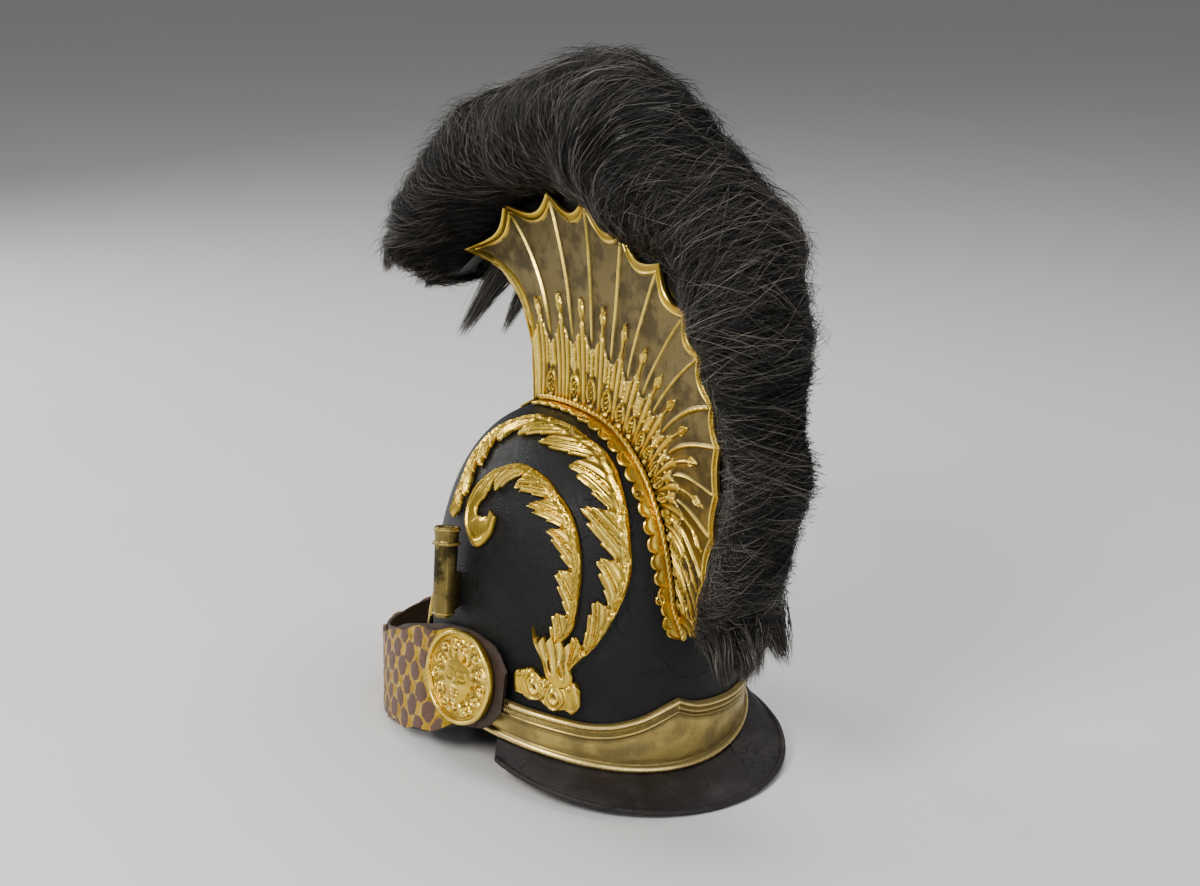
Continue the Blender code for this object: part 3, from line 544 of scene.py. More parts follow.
scaleLook = {
    "clean": (0.64, 0.40, 0.035), "dull": (0.46, 0.275, 0.03), "copper": (0.060, 0.027, 0.022),
    "bareCopper": (0.16, 0.085, 0.055), "soot": (0.10, 0.06, 0.02),
    "patch": 70.0, "dirt": 0.35, "bump": 0.00026,
}


def scaleMaterial(look):
    material, tree, shader, where = newMaterial("scaledBrass", 0.34, 1.0)
    ageing = useAgeing(tree, where, look)
    colour = mixColours(tree, ageing["Tarnish"], look["clean"], look["dull"])
    broken = multiply(tree, subtract(tree, noiseNode(tree, where, 420.0, 6.0, 0.7), 0.5), 2.2)
    worn = ramp(tree, add(tree, readMask(tree, "worn"), broken), 0.42, 0.60)
    copper = mixColours(tree, noiseNode(tree, where, 260.0), look["copper"], look["bareCopper"])
    height = subtract(tree, ageing["Height"], multiply(tree, worn, 0.8))
    feedAll(tree, shader, {
        "Base Color": mixColours(tree, ageing["Dirt"], mixColours(tree, worn, colour, copper), look["soot"]),
        "Roughness": ramp(tree, worn, 0.0, 1.0, 0.30, 0.55),
        "Metallic": ramp(tree, worn, 0.0, 1.0, 1.0, 0.35),
        "Normal": bumpNode(tree, height, look["bump"]),
    })
    return material


# The light colour is a painted highlight, given to a random share of hairs.
# The root colour is painted shade: each hair darkens towards its root, and the fur body takes that colour
# all over.
furLook = {
    "shadedRoots": (0.0012, 0.0011, 0.0011), "dark": (0.0040, 0.0037, 0.0036), "light": (0.30, 0.265, 0.225),
    "rough": 0.38, "shine": 0.26,
}


def furMaterial(look):
    material, tree, shader, _ = newMaterial("furHair", look["rough"], 0.0)
    # The light colour mixed in by each hair's mask is a painted highlight.
    tips = mixColours(tree, readMask(tree, "paintedHighlight"), look["dark"], look["light"])
    # Each hair is darker towards its root, and the body is dark all over: painted shade under the hair.
    feedAll(tree, shader, {"Base Color": mixColours(tree, readMask(tree, "along"), look["shadedRoots"], tips),
                           "Specular IOR Level": look["shine"]})
    return material


scaledBrass = scaleMaterial(scaleLook)
furHair = furMaterial(furLook)
print("materials made")


# Skull: a ball cut in half, drawn into the skull's curve, with its lower edge pulled down to the rim

skullLook = {"around": 160, "rings": 96, "dents": 0.35}


def buildSkull():
    pick(None)
    bpy.ops.mesh.primitive_uv_sphere_add(segments=skullLook["around"], ring_count=skullLook["rings"],
                                         radius=1)
    piece = bpy.context.object
    piece.name = "skull_shell"
    bpy.ops.object.mode_set(mode="EDIT")
    bpy.ops.mesh.select_all(action="SELECT")
    bpy.ops.mesh.bisect(plane_co=(0, 0, 0.001), plane_no=(0, 0, 1), clear_inner=True)
    bpy.ops.object.mode_set(mode="OBJECT")
    x, y, z = readPoints(piece).T
    shaped = atRise(np.degrees(np.arctan2(x, -y)), np.degrees(np.arctan2(np.maximum(z, 0), np.hypot(x, y))))
    writePoints(piece, pushOut(shaped, skullLook["dents"] * noise(shaped, 26.0) - skullLook["dents"]))
    pick(piece)
    bpy.ops.object.mode_set(mode="EDIT")
    selectBorder()
    bpy.ops.mesh.extrude_region_move(TRANSFORM_OT_translate={"value": (0, 0, -0.010)})
    bpy.ops.object.mode_set(mode="OBJECT")
    points = readPoints(piece) / mm
    low = points[:, 2] < skull["spring"] - 5
    turn = np.degrees(np.arctan2(points[low, 0] / skull["width"], -points[low, 1] / skull["length"]))
    points[low, 2] = skull["spring"] + rimHeight(turn)
    writePoints(piece, points)
    mergeSeams(piece)
    applyModifier(piece, "SOLIDIFY", thickness=skull["wall"] * mm, offset=-1.0, use_even_offset=False)
    shadeSmooth(piece, 50)
    dress(piece, blackLeather, "black_leather", "skull")


# Rim band: one profile carried round the skull, with a hatched strip on the left of its back

rimBand = {
    "hatchFrom": 60, "corner": 174.5,
    "top": (  # turn, height of the bead
        (0, 18), (60, 20), (85, 27), (113, 21), (130, 17), (143, 13.5), (152, 14), (162, 18), (170, 24),
        (175, 27), (181, 22), (187, 20), (200, 17.5), (215, 16), (230, 17), (247, 21), (275, 27), (300, 20),
        (360, 18)),
    "profile": (  # along the section, where it hangs from (0 the rim, 1 the top), mm from there, mm off
        (0.00, 0, -1.2, 0.35), (0.03, 0, -1.4, 1.6), (0.06, 0, -1.3, 3.0), (0.09, 0, -0.2, 4.1),
        (0.12, 0, 1.2, 4.3), (0.15, 0, 2.6, 3.5), (0.18, 0, 3.4, 2.2), (0.20, 0, 4.0, 1.8),
        (0.30, 0, 8.0, 2.0), (0.48, 1, -15.0, 2.0), (0.55, 1, -10.4, 1.8), (0.58, 1, -9.7, 2.5),
        (0.61, 1, -9.0, 2.5), (0.64, 1, -8.4, 1.9), (0.67, 1, -7.8, 2.4), (0.76, 1, -5.0, 2.5),
        (0.79, 1, -4.4, 2.0), (0.83, 1, -3.7, 3.1), (0.87, 1, -2.7, 3.8), (0.91, 1, -1.6, 3.6),
        (0.95, 1, -0.6, 2.6), (0.98, 1, -0.1, 1.6), (1.00, 1, 0.0, 0.35)),
}


def bandTop(turn):
    soft = readSoftly(rimBand["top"], [(turn + shift) % 360 for shift in (-3, -1.5, 0, 1.5, 3)])
    sharp = readTable(rimBand["top"], turn % 360)
    return soft + (sharp - soft) * bump(turn - 175, 3.0)  # sharp at the corner behind


def buildBand():
    def shape(u, v):
        turn = u * 360
        rim, top = rimHeight(turn), bandTop(turn)
        hang, drop, off = readTable(rimBand["profile"], v)
        height = between(rim, top, hang) + drop
        hatched = smoothStep(0, 2, turn - rimBand["hatchFrom"])
        hatched = hatched * smoothStep(0, 0.6, rimBand["corner"] - turn)
        strip = smoothStep(0.65, 0.68, v) * smoothStep(0.79, 0.76, v)
        off = off + strip * (1 - hatched) * 0.7 * bump(v - 0.715, 0.035)
        face = smoothStep(0.2, 0.28, v) * smoothStep(0.54, 0.46, v)
        points = atHeight(turn, height, off)
        dents = face * (0.18 * noise(points, 9.0) + 0.12 * noise(points, 3.5, 4.0))
        points = atHeight(turn, height, off + dents)
        relief = np.where(face > 0.5, 0.5, np.clip((off - 1.4) / 2.6, 0, 1))
        return points, {"relief": relief, "hatch": strip * hatched}

    piece = gridPiece("rim_band", 600, 50, shape, wrap=True)
    dress(piece, bandBrass, "worn_brass", "base_band")


# Front plate: a plain shield with a raised border, its foot flared over the band

frontPlate = {
    "halfTurn": 51.0, "wall": 1.1, "flare": 7.0, "overBand": 4.6, "stand": 0.9,
    "top": ((0, 122), (8, 104), (20, 82), (33, 62), (44, 47), (51, 36)),
}


def buildFrontPlate():
    def shape(u, v, back):
        turn = (u * 2 - 1) * frontPlate["halfTurn"]
        low = rimHeight(turn) + 1
        high = readTable(frontPlate["top"], np.abs(turn))
        height = between(low, high, v)
        stand = np.interp(height, (skull["gap"] + 20, 32), (frontPlate["overBand"], frontPlate["stand"]))
        lift = np.maximum(stand, between(frontPlate["flare"], frontPlate["stand"], v ** 0.8))
        inFromEdge = np.minimum(np.minimum(high - height, height - low), (1 - np.abs(2 * u - 1)) * 85)
        border = 0.9 * bump(inFromEdge - 3.2, 1.3) + 0.5 * bump(inFromEdge - 6.2, 0.6)
        ray = 0.35 * np.cos(turn * 0.55) * smoothStep(8, 14, inFromEdge)
        lift = lift + np.where(back, 0, border + ray + frontPlate["wall"])
        points = atHeight(turn, height, lift)
        return points, {"relief": np.clip(0.45 + 0.5 * border + 0.5 * ray, 0, 1), "gilt": 1 + 0 * u}

    piece = gridPiece("front_shield", 150, 84, shape, closed=True)
    dress(piece, giltBrass, "gilt_brass", "front_plate")


# Neck guard: a leather brim with its rolled and stitched binding

neckGuard = {
    "start": 111.0, "end": 249.0, "wall": 2.8, "binding": 2.2, "stitches": 150,
    "rootOut": 4.6, "rootIn": -2.6, "root": 1.7,  # off the skull, and below the rim
    "reach": (-8.75, 42.9, 6.2), "leastReach": 7.5, "fall": (15.2, 3.9),
    "section": (  # from the root to the binding: share, down, out
        (0, 0, 0), (0.12, 0, 0), (0.42, 0.32, 0.40), (0.72, 0.64, 0.70), (1, 0.93, 0.94)),
}


def guardTurn(u):
    return between(neckGuard["start"], neckGuard["end"], u)


def guardEdge(turn):
    back = -np.cos(np.radians(turn))
    least, slope, curve = neckGuard["reach"]
    reach = np.maximum(least + slope * back + curve * back * back, neckGuard["leastReach"])
    fall = neckGuard["fall"][0] - neckGuard["fall"][1] * back
    edge = np.maximum(rimHeight(turn) - fall, neckGuard["binding"] - skull["spring"])
    return reach, edge


def buildGuard():
    def shape(u, v):
        turn = guardTurn(u)
        reach, edge = guardEdge(turn)
        root = rimHeight(turn) - neckGuard["root"]
        down, out = readTable(neckGuard["section"], v)
        inner = np.interp(v, (0, 0.12), (neckGuard["rootIn"], neckGuard["rootOut"]))
        offset = np.where(v < 0.12, inner, between(neckGuard["rootOut"], reach, out))
        points = atHeight(turn, between(root, edge, down), offset)
        brim = smoothStep(0.15, 0.3, v) * smoothStep(1.0, 0.9, v)
        sag = brim * (0.5 * noise(points, 14.0) + 0.25 * noise(points, 5.0, 2.0))
        line = 0.45 * bump(v - 0.86, 0.012) * smoothStep(0.15, 0.3, v)
        points[:, 2] += sag - line
        points[:, 2] = np.maximum(points[:, 2], neckGuard["wall"] + 0.3)
        return points, {"relief": 0.5 + sag}

    piece = gridPiece("guard_brim", 200, 32, shape)
    if np.mean([polygon.normal.z for polygon in piece.data.polygons]) < 0:
        editMesh(piece, (bpy.ops.mesh.flip_normals, {}))
    applyModifier(piece, "SOLIDIFY", thickness=neckGuard["wall"] * mm, offset=-1.0, use_even_offset=False)
    points = readPoints(piece) / mm
    points[:, 2] = np.maximum(points[:, 2], 0.2)  # nothing below the floor
    writePoints(piece, points)
    shadeSmooth(piece, 50)
    dress(piece, guardLeather, "guard_leather", "neck_guard")

    def roll(u, v):
        turn = guardTurn(u)
        reach, edge = guardEdge(turn)
        middle = atHeight(turn, edge, reach)
        out = unit(middle * (1, 1, 0))
        angle = v * math.tau
        stitch = np.abs(np.sin(turn * math.pi * neckGuard["stitches"] / 180))
        radius = neckGuard["binding"] * (0.93 + 0.05 * noise(middle, 2.5) + 0.05 * noise(middle, 9.0))
        radius = radius - 0.35 * (stitch < 0.22) * bump(angle - 2.2, 0.5)
        radius = radius * taper(u, 160)
        points = middle + out * (radius * np.cos(angle))[:, None]
        points[:, 2] += radius * np.sin(angle)
        points[:, 2] = np.maximum(points[:, 2], 0.02)
        return points, {"relief": 0 * u + 0.5}

    piece = gridPiece("guard_roll", 520, 14, roll, wrap=True)
    dress(piece, guardLeather, "guard_leather", "guard_binding")


buildSkull()
buildBand()
buildFrontPlate()
buildGuard()
print("skull, band, front plate and guard made")


# Comb: two pressed plates, each bay with a drop, beads and a spear between fine ribs

comb = {
    "inner": 6.5, "wall": 1.2, "seat": 1.2, "sheet": 0.8, "bays": 14, "columns": 42, "rows": 128,
    "ribs": (  # tip forward, tip height, bend forward, bend height, foot angle, scallop depth
        (139.0, 302.0, 42.0, 312.0, 75.0, 16.0), (89.0, 341.5, 20.0, 300.0, 80.5, 13.0),
        (37.0, 357.0, 4.5, 302.5, 89.4, 12.0), (-4.0, 359.0, -18.5, 301.5, 94.5, 12.0),
        (-45.0, 347.0, -42.0, 290.5, 99.2, 12.0), (-85.0, 331.0, -58.5, 280.0, 103.8, 10.0),
        (-113.0, 307.0, -79.0, 272.5, 107.0, 9.0), (-129.0, 283.0, -92.0, 261.0, 110.6, 8.0),
        (-142.0, 254.0, -106.0, 248.0, 114.9, 4.0), (-147.5, 231.0, -111.5, 224.5, 118.4, 2.0),
        (-147.5, 200.0, -116.0, 201.0, 122.0, 2.0), (-145.0, 171.0, -120.0, 179.0, 126.5, 3.0),
        (-138.0, 140.0, -122.0, 151.0, 133.0, 3.0), (-132.0, 117.0, -125.0, 128.0, 139.5, 2.0),
        (-123.0, 104.0, -121.0, 110.0, 145.0, 0.0)),
    "slant": 1.9,  # bays by which the rear pattern slopes down towards the edge
    "spearTop": (  # for each bay, in shares of its length
        0.48, 0.52, 0.51, 0.54, 0.57, 0.57, 0.56, 0.58, 0.62, 0.70, 0.78, 0.84, 0.84, 0.84, 0.84, 0.84,
        0.84),
    "beads": (  # on each rib: mm from the foot, radius
        (2.5, 1.8), (21.2, 1.25), (24.0, 1.5), (27.1, 1.45), (30.1, 1.35), (33.0, 1.2), (35.6, 1.3)),
    "dots": ((33.6, 2.5), (36.6, 2.1), (25.5, 2.9)),  # beside each rib: mm from the foot, mm aside
    "border": ((0, 8.4), (7, 7.6), (9, 6.2), (13, 4.8), (14, 2.6)),  # bay, width
    "drop": {"middle": 12.0, "tall": 7.4, "wide": 4.3},
    "head": 12.0,  # length of a spear's head
}
lastRib = comb["bays"] - 1e-6


def combPoint(rib, along, scalloped=True):  # forward and height of a point of the comb
    row = linearRows(comb["ribs"], rib)
    tip, bend = row[..., 0:2], row[..., 2:4]
    foot3 = overTop(row[..., 4], 0.0, comb["seat"])
    foot = np.stack([-foot3[..., 1], foot3[..., 2]], axis=-1)
    if scalloped:
        into = rib - np.floor(rib)
        pull = 4 * into * (1 - into) * row[..., 5]
        tip = tip + unit(bend - tip) * pull[..., None]
    a = np.asarray(along)[..., None]
    return foot * (1 - a) ** 2 + bend * 2 * a * (1 - a) + tip * a ** 2


def combLengths():
    ribs = np.linspace(0, lastRib, 141)
    steps = np.linspace(0, 1, 40)
    lines = np.stack([combPoint(ribs, np.full_like(ribs, step)) for step in steps], axis=1)
    return ribs, np.linalg.norm(np.diff(lines, axis=1), axis=-1).sum(axis=1)


def combDrops(height, zone, fromRib, along, width, notFront):  # a seeded drop on each rib, with its beads
    narrow = np.clip(width / 14, 0.7, 1)  # drops shrink in narrow bays
    clear = smoothStep(6.0 * narrow, 5.3 * narrow, fromRib) * smoothStep(1.0, 3.0, along)
    clear = clear * notFront * smoothStep(22.5, 19.5, along)
    height = height * (1 - 0.95 * clear * zone)
    look = comb["drop"]
    a = (along - look["middle"]) / look["tall"]
    dropWidth = look["wide"] * narrow * dome(a) * (1 - 0.42 * a)
    share = fromRib / np.maximum(dropWidth, 0.01)
    seeds = 1.7 * np.clip(np.sin(along * 1.9) * np.cos(fromRib * 1.6), 0, 1) ** 1.5
    drop = 1.5 * bump(share - 0.93, 0.17) + (0.1 + seeds) * dome(share * 1.2) * (share < 0.8)
    onDrop = (np.abs(a) < 1) & (share < 1.25) & notFront
    height = np.where(onDrop, np.maximum(height * 0.1, 0.1 + 1.15 * drop), height)
    spots = [(centre, 0, radius, 1.9) for centre, radius in comb["beads"]]
    spots += [(centre, aside, 1.0, 1.3) for centre, aside in comb["dots"]]
    for centre, aside, radius, tall in spots:
        away = np.hypot(along - centre, fromRib - aside) / radius
        height = np.maximum(height, notFront * (0.2 + tall * (dome(away) * (away < 1))))
    return height


def combSpears(height, bay, length, fromFoot, fromMiddle, along):  # a spear in the middle of each bay
    below = np.interp(np.clip(bay, 0, 16), range(17), comb["spearTop"]) * length - fromFoot
    height = np.where((below > 4) & (along > 3), np.maximum(height, 1.45 * bump(fromMiddle, 0.75)), height)
    headWidth = np.where(below < 8.5, below * 0.36, 0.8 + (comb["head"] - below) * 0.64)
    head = (below > 0) & (below < comb["head"]) & (fromMiddle < headWidth)
    aside = fromMiddle / np.maximum(headWidth, 0.1)
    point = 1.5 + 0.9 * bump(aside, 0.22) - 0.9 * bump(aside - 0.48, 0.20)
    return np.where(head, np.maximum(height, point), height), head, (below > 4) | head


def combBorders(height, share, front, lower):  # along the scallops, down the front edge and at the lower end
    lines = 0.9 * bump(share - 0.10, 0.10) + 0.7 * bump(share - 0.90, 0.10)
    border = 0.75 * smoothStep(1.15, 0.95, share) + lines
    height = np.where(share < 1.2, np.maximum(border, height * smoothStep(0.9, 1.2, share)), height)
    height = np.maximum(height, 0.2 + 1.3 * bump(front - 1.2, 1.0))
    end = 0.5 + 0.7 * bump(lower - 1.0, 0.9) + 0.5 * bump(lower - 4.0, 0.5)
    return np.where(lower < 4.5, end, height)


def combRelief(u, v):  # place along the comb, height of the relief, share of gilding and of hatching
    ribs, lengths = combLengths()
    s = np.clip(u * comb["bays"], 0, lastRib)
    length = np.interp(s, ribs, lengths)
    pattern = s + comb["slant"] * smoothStep(6.0, 11.0, s) * (1 - v) ** 1.7  # the pattern's own bay position
    bay = np.floor(pattern)
    into = pattern - bay
    ahead = combPoint(np.clip(s + 0.25, 0, lastRib), v, False)
    behind = combPoint(np.clip(s - 0.25, 0, lastRib), v, False)
    squeeze = 1 + comb["slant"] * 0.3 * bump(s - 8.5, 2.5) * (1 - v)
    width = np.linalg.norm(ahead - behind, axis=-1) * 2 / squeeze
    fromRib = np.minimum(into, 1 - into) * width
    fromMiddle = np.abs(into - 0.5) * width
    fromFoot = v * length
    along = fromFoot / np.clip(length / 130, 0.42, 1)  # short bays carry a smaller pattern

    web = 0.5 * (fromMiddle / np.maximum(width / 2, 1)) ** 2 * smoothStep(0.3, 0.45, v)
    rib = 1.5 * bump(fromRib, 0.8) * smoothStep(0.26, 0.34, v)
    height = 0.1 + web + rib - 0.25 * bump(fromRib - 2.0, 0.5) * smoothStep(0.3, 0.4, v)
    peak = 1 - np.abs(2 * into - 1)
    zoneTop = 0.25 + 0.145 * peak ** 1.5 + 0.012 * np.sin(into * 40 + bay * 5) * peak
    zone = smoothStep(0.006, -0.006, v - zoneTop)  # the fluted foot of each bay
    flutes = np.abs(np.cos(math.pi * fromMiddle / (3.9 + 1.6 * v / 0.3))) ** 1.2
    height = height + zone * (1.35 * flutes - 0.05) + 1.0 * bump(v - zoneTop, 0.008)
    height = combDrops(height, zone, fromRib, along, width, pattern > 0.5)
    height, head, shaft = combSpears(height, bay, length, fromFoot, fromMiddle, along)
    share = (1 - v) * length / readTable(comb["border"], s)
    firstLine = combPoint(np.zeros_like(s), v, False)
    front = s * np.linalg.norm(combPoint(np.ones_like(s), v, False) - firstLine, axis=-1)
    height = combBorders(height, share, front, (comb["bays"] - s) * 9.0)
    height = height * smoothStep(0.0, 0.6, fromFoot) + 0.1

    spears = np.where(head, 1, np.where(shaft, bump(fromMiddle, 2.0), 0))
    gilded = np.maximum.reduce([
        zone, smoothStep(0.35, 0.9, rib), smoothStep(1.25, 1.05, share), spears,
        smoothStep(4.0, 2.5, front), smoothStep(10.0, 13.0, s) * 0.8])
    hatch = smoothStep(4.0, 6.0, s) * smoothStep(0.2, 0.3, share) * smoothStep(0.82, 0.72, share)
    return s, height, np.clip(gilded, 0, 1), hatch


def buildCombPlate(side, sign):
    def shape(u, v, back):
        s, height, gilded, hatch = combRelief(u, v)
        flat = combPoint(s, v)
        height = np.where(back, -comb["sheet"], height)
        points = stackPoints(sign * (comb["inner"] + comb["wall"] + height), -flat[:, 0], flat[:, 1])
        warp = 0.3 * noise(points, 17.0) * smoothStep(0.3, 0.6, v)
        points[:, 0] += sign * (warp - 0.3 * smoothStep(0.3, 0.6, v))
        relief = np.clip((height - 0.3) / 1.15, 0, 1)
        relief = np.where(gilded < 0.5, np.maximum(relief, 0.42), relief)
        return points, {"relief": relief, "gilt": gilded, "hatch": hatch}

    piece = gridPiece("comb_side_" + side, comb["bays"] * comb["columns"], comb["rows"], shape, closed=True)
    dress(piece, combBrass, "worn_brass", "comb_plate_" + side)


# Comb foot: the scalloped strip on the skull, its roped moulding and the screws

combFoot = {
    "first": 78.0, "last": 150.0, "tongue": 145.0,  # angles over the skull
    "near": 9.85, "side": 12.25, "wall": 1.0, "lobes": 21,
    "rope": 2.4, "twists": 110, "strands": 3,
    "screws": (96.5, 118.0, 139.0),
}


def footAngle(u):
    return between(combFoot["first"], combFoot["last"], u)


def buildCombFoot(side, sign):
    def strip(u, v, back):
        angle = footAngle(u)
        lobe = np.abs(np.sin(math.pi * combFoot["lobes"] * u)) ** 0.55
        screw = sum(bump(angle - place, 1.3) for place in combFoot["screws"])
        lobe = np.maximum(lobe * np.interp(u, (0, 0.22, 0.3, 1), (0.45, 0.55, 1, 1)), screw)
        far = combFoot["side"] + (5.6 + 4.2 * lobe) * (1 - 0.35 * smoothStep(130, 144, angle))
        last = np.clip((angle - combFoot["tongue"]) / (combFoot["last"] - combFoot["tongue"]), 0, 1)
        inner = combFoot["near"] - 7.5 * smoothStep(139, 148, angle)
        far = between(inner, far, np.sqrt(1 - last ** 2 * 0.985))
        across = between(inner, far, v)
        inFrom = far - across
        edge = 0.95 * bump(inFrom - 0.7, 0.55)
        hollow = 0.6 * lobe * bump(inFrom - 3.2, 1.6) * (1 - screw)
        lift = skull["gap"] + np.where(back, 0, combFoot["wall"] + edge - hollow)
        relief = 0.5 + edge * 0.5 - hollow * 0.3 - 0.5 * (1 - lobe) * (inFrom < 2)
        return overTop(angle, across, lift), {"relief": np.clip(relief, 0, 1)}

    piece = gridPiece("comb_strip_" + side, 600, 17, strip, closed=True, sign=sign)
    dress(piece, giltBrass, "gilt_brass", "comb_foot_" + side)

    def rope(u, v):
        angle = footAngle(u)
        lift = skull["gap"] * 2 + combFoot["wall"] + combFoot["rope"] * 0.8
        aside = combFoot["side"] - 5.5 * smoothStep(140, 150, angle)
        middle = overTop(angle, aside - 0.4, lift)
        above = overTop(angle, aside, lift + 1) - middle
        sideways = unit(overTop(angle, aside + 0.6, lift) - middle)
        around = v * math.tau
        phase = around * combFoot["strands"] + u * combFoot["twists"] * math.tau / 2
        strand = np.abs(np.sin(phase / 2)) ** 0.7
        radius = combFoot["rope"] * (0.60 + 0.20 * strand)
        radius = radius * taper(u, 120)
        points = middle + above * (radius * np.sin(around))[:, None]
        points = points + sideways * (radius * np.cos(around))[:, None]
        return points, {"relief": strand}

    piece = gridPiece("comb_cord_" + side, 620, 15, rope, wrap=True, sign=sign)
    dress(piece, giltBrass, "gilt_brass", "comb_rope_" + side)


screwLook = {
    "side": 19.0, "slot": 0.36,
    "profile": (  # from the middle to the rim: radius, height
        (0, 0.0, 0.85), (0.25, 0.9, 0.75), (0.45, 1.55, 0.35), (0.52, 1.75, -0.1), (0.60, 2.1, -0.1),
        (0.68, 2.25, 0.9), (0.80, 2.75, 1.35), (0.92, 3.25, 0.9), (1.0, 3.35, -0.4)),
}


def buildScrews(side, sign):
    lift = skull["gap"] + combFoot["wall"]
    for number, place in enumerate(combFoot["screws"]):
        middle = overTop(np.full(1, place), screwLook["side"], lift)[0] * (sign, 1, 1)
        above = overTop(np.full(1, place), screwLook["side"], lift + 1)[0] * (sign, 1, 1) - middle
        along = unit(np.cross(above, (1, 0, 0)))
        aside = np.cross(above, along)

        def shape(u, v):
            radius, height = readTable(screwLook["profile"], v)
            x, y = radius * np.cos(u * math.tau), radius * np.sin(u * math.tau)
            turned = x * math.cos(number + 0.6) + y * math.sin(number + 0.6)
            slot = (np.abs(turned) < screwLook["slot"]) & (radius < 1.5)
            height = np.where(slot, height - 0.5, height)
            points = middle + x[:, None] * along + y[:, None] * aside + height[:, None] * above
            low = slot | (height < 0.1) & (radius < 2.4)
            return points, {"relief": np.where(low, 0.0, np.where(radius > 2.3, 0.7, 0.2))}

        piece = gridPiece("screw_head_%s_%d" % (side, number + 1), 40, 26, shape, wrap=True)
        dress(piece, giltBrass, "gilt_brass", "comb_screw_%s_%d" % (side, number + 1))


sides = (("left", 1), ("right", -1))
for side, sign in sides:
    buildCombPlate(side, sign)
    buildCombFoot(side, sign)
    buildScrews(side, sign)
print("comb made")


# Acanthus: two leafy branches on each side, drawn as one smooth back edge and one lobed edge

leafEdge = (  # along a lobe as it grows, width of the leaf there
    (0.00, 0.50), (0.05, 0.46), (0.13, 0.58), (0.23, 0.76), (0.27, 0.73), (0.30, 0.69), (0.41, 0.85),
    (0.53, 0.97), (0.575, 0.93), (0.61, 0.86), (0.72, 0.98), (0.81, 1.00), (0.86, 0.93), (0.885, 0.87),
    (0.94, 0.88), (0.97, 0.74), (1.00, 0.50))
leafVeins = (  # along a lobe, count of veins so far
    (0.0, -0.5), (0.06, 0), (0.12, 0.5), (0.24, 1), (0.40, 1.5), (0.55, 2), (0.68, 2.5), (0.81, 3),
    (0.89, 3.5), (0.95, 4), (1.0, 4.5))
leafArch = (  # across the leaf from its smooth back, share of its height
    (0.0, 0.10), (0.05, 0.75), (0.14, 1.10), (0.25, 0.95), (0.31, 0.72), (0.36, 0.85), (0.6, 0.74),
    (0.9, 0.55), (1.0, 0.28))
outerBranch = {
    "lobes": 11, "lean": 0.014, "plain": 0.93, "columns": 640, "rows": 31, "tall": 3.3,
    "table": (  # back turn, back rise, lobe turn, lobe rise
        (134.5, 13, 131.5, 15), (139, 16, 135, 19), (146, 20, 140, 23), (153, 26, 144, 28),
        (158, 32, 145, 33), (159, 38, 143, 39), (159, 45, 139, 46), (156, 56, 132, 53), (145, 63, 121, 58),
        (126, 69, 104, 61), (94, 71, 91, 61), (74, 65, 81, 58), (68, 57, 79, 54), (68, 51, 79, 49),
        (71, 45, 80, 44), (73, 40, 79, 39), (73, 37, 75, 36)),
}
innerBranch = {
    "lobes": 10, "lean": 0.015, "plain": 0.62, "columns": 560, "rows": 29, "tall": 3.0,
    "table": (
        (131, 18, 126, 19), (137, 22, 129, 22), (139, 27, 131, 27), (140, 33, 130, 32), (139, 38, 127, 38),
        (136, 43, 122, 41), (130, 47, 116, 44), (121, 51, 109, 46), (106, 53, 103, 47), (94, 50, 97, 45),
        (86, 45, 92, 42.5), (85, 40, 90, 40.5), (88, 35.5, 92, 39), (95, 33, 95, 38.6),
        (101, 36, 97.5, 39.6), (102, 40, 97.8, 41)),
}


def buildBranch(name, node, branch, sign):
    def shape(u, v, back):
        phase = u * branch["lobes"]
        number = np.floor(phase)
        lobe = phase - number
        leafed = smoothStep(0, 0.02, u) * smoothStep(branch["plain"] + 0.06, branch["plain"] - 0.02, u)
        wide = (1 - leafed * (1 - readTable(leafEdge, lobe))) * (1 + 0.06 * np.sin(number * 2.4 + 1))
        reach = v * wide
        position = np.clip(u + branch["lean"] * reach ** 2 * smoothStep(1, 0.9, u), 0, 1)
        row = throughRows(branch["table"], position * (len(branch["table"]) - 1))
        turn = between(row[:, 0], row[:, 2], reach)
        rise = between(row[:, 1], row[:, 3], reach)
        grown = (lobe + 0.7 * (1 - np.clip((reach - 0.25) / 0.75, 0, 1))) % 1  # veins slant to their teeth
        leafy = smoothStep(0.26, 0.40, reach) * leafed
        vein = 0.38 * leafy * np.cos(math.tau * readTable(leafVeins, grown))
        layer = 0.85 * leafy * (grown - 0.5)
        eyeAt = np.hypot(((lobe + 0.45) % 1 - 0.47) / 0.055, (reach - 0.38) / 0.06)
        eye = leafed * (0.8 * bump(eyeAt - 1.1, 0.35) - 0.9 * (eyeAt < 0.8))
        stripe = 0.25 * np.cos(reach * 110) * smoothStep(0.02, 0.08, reach) * smoothStep(0.30, 0.22, reach)
        height = branch["tall"] * readTable(leafArch, v) + layer + vein + stripe + eye
        height = np.maximum(height * (0.5 + 0.5 * smoothStep(0, 0.05, u)), 0.3)
        points = atRise(turn, rise, np.where(back, 0.5, 1.3 + height))
        relief = 0.55 + 0.8 * vein + 0.25 * layer + 0.5 * stripe + 0.5 * eye
        relief = relief - 0.5 * bump(reach - 0.31, 0.03) * leafed
        return points, {"relief": np.clip(relief, 0, 1)}

    piece = gridPiece(name, branch["columns"], branch["rows"], shape, closed=True, sign=sign)
    dress(piece, giltBrass, "gilt_brass", node)


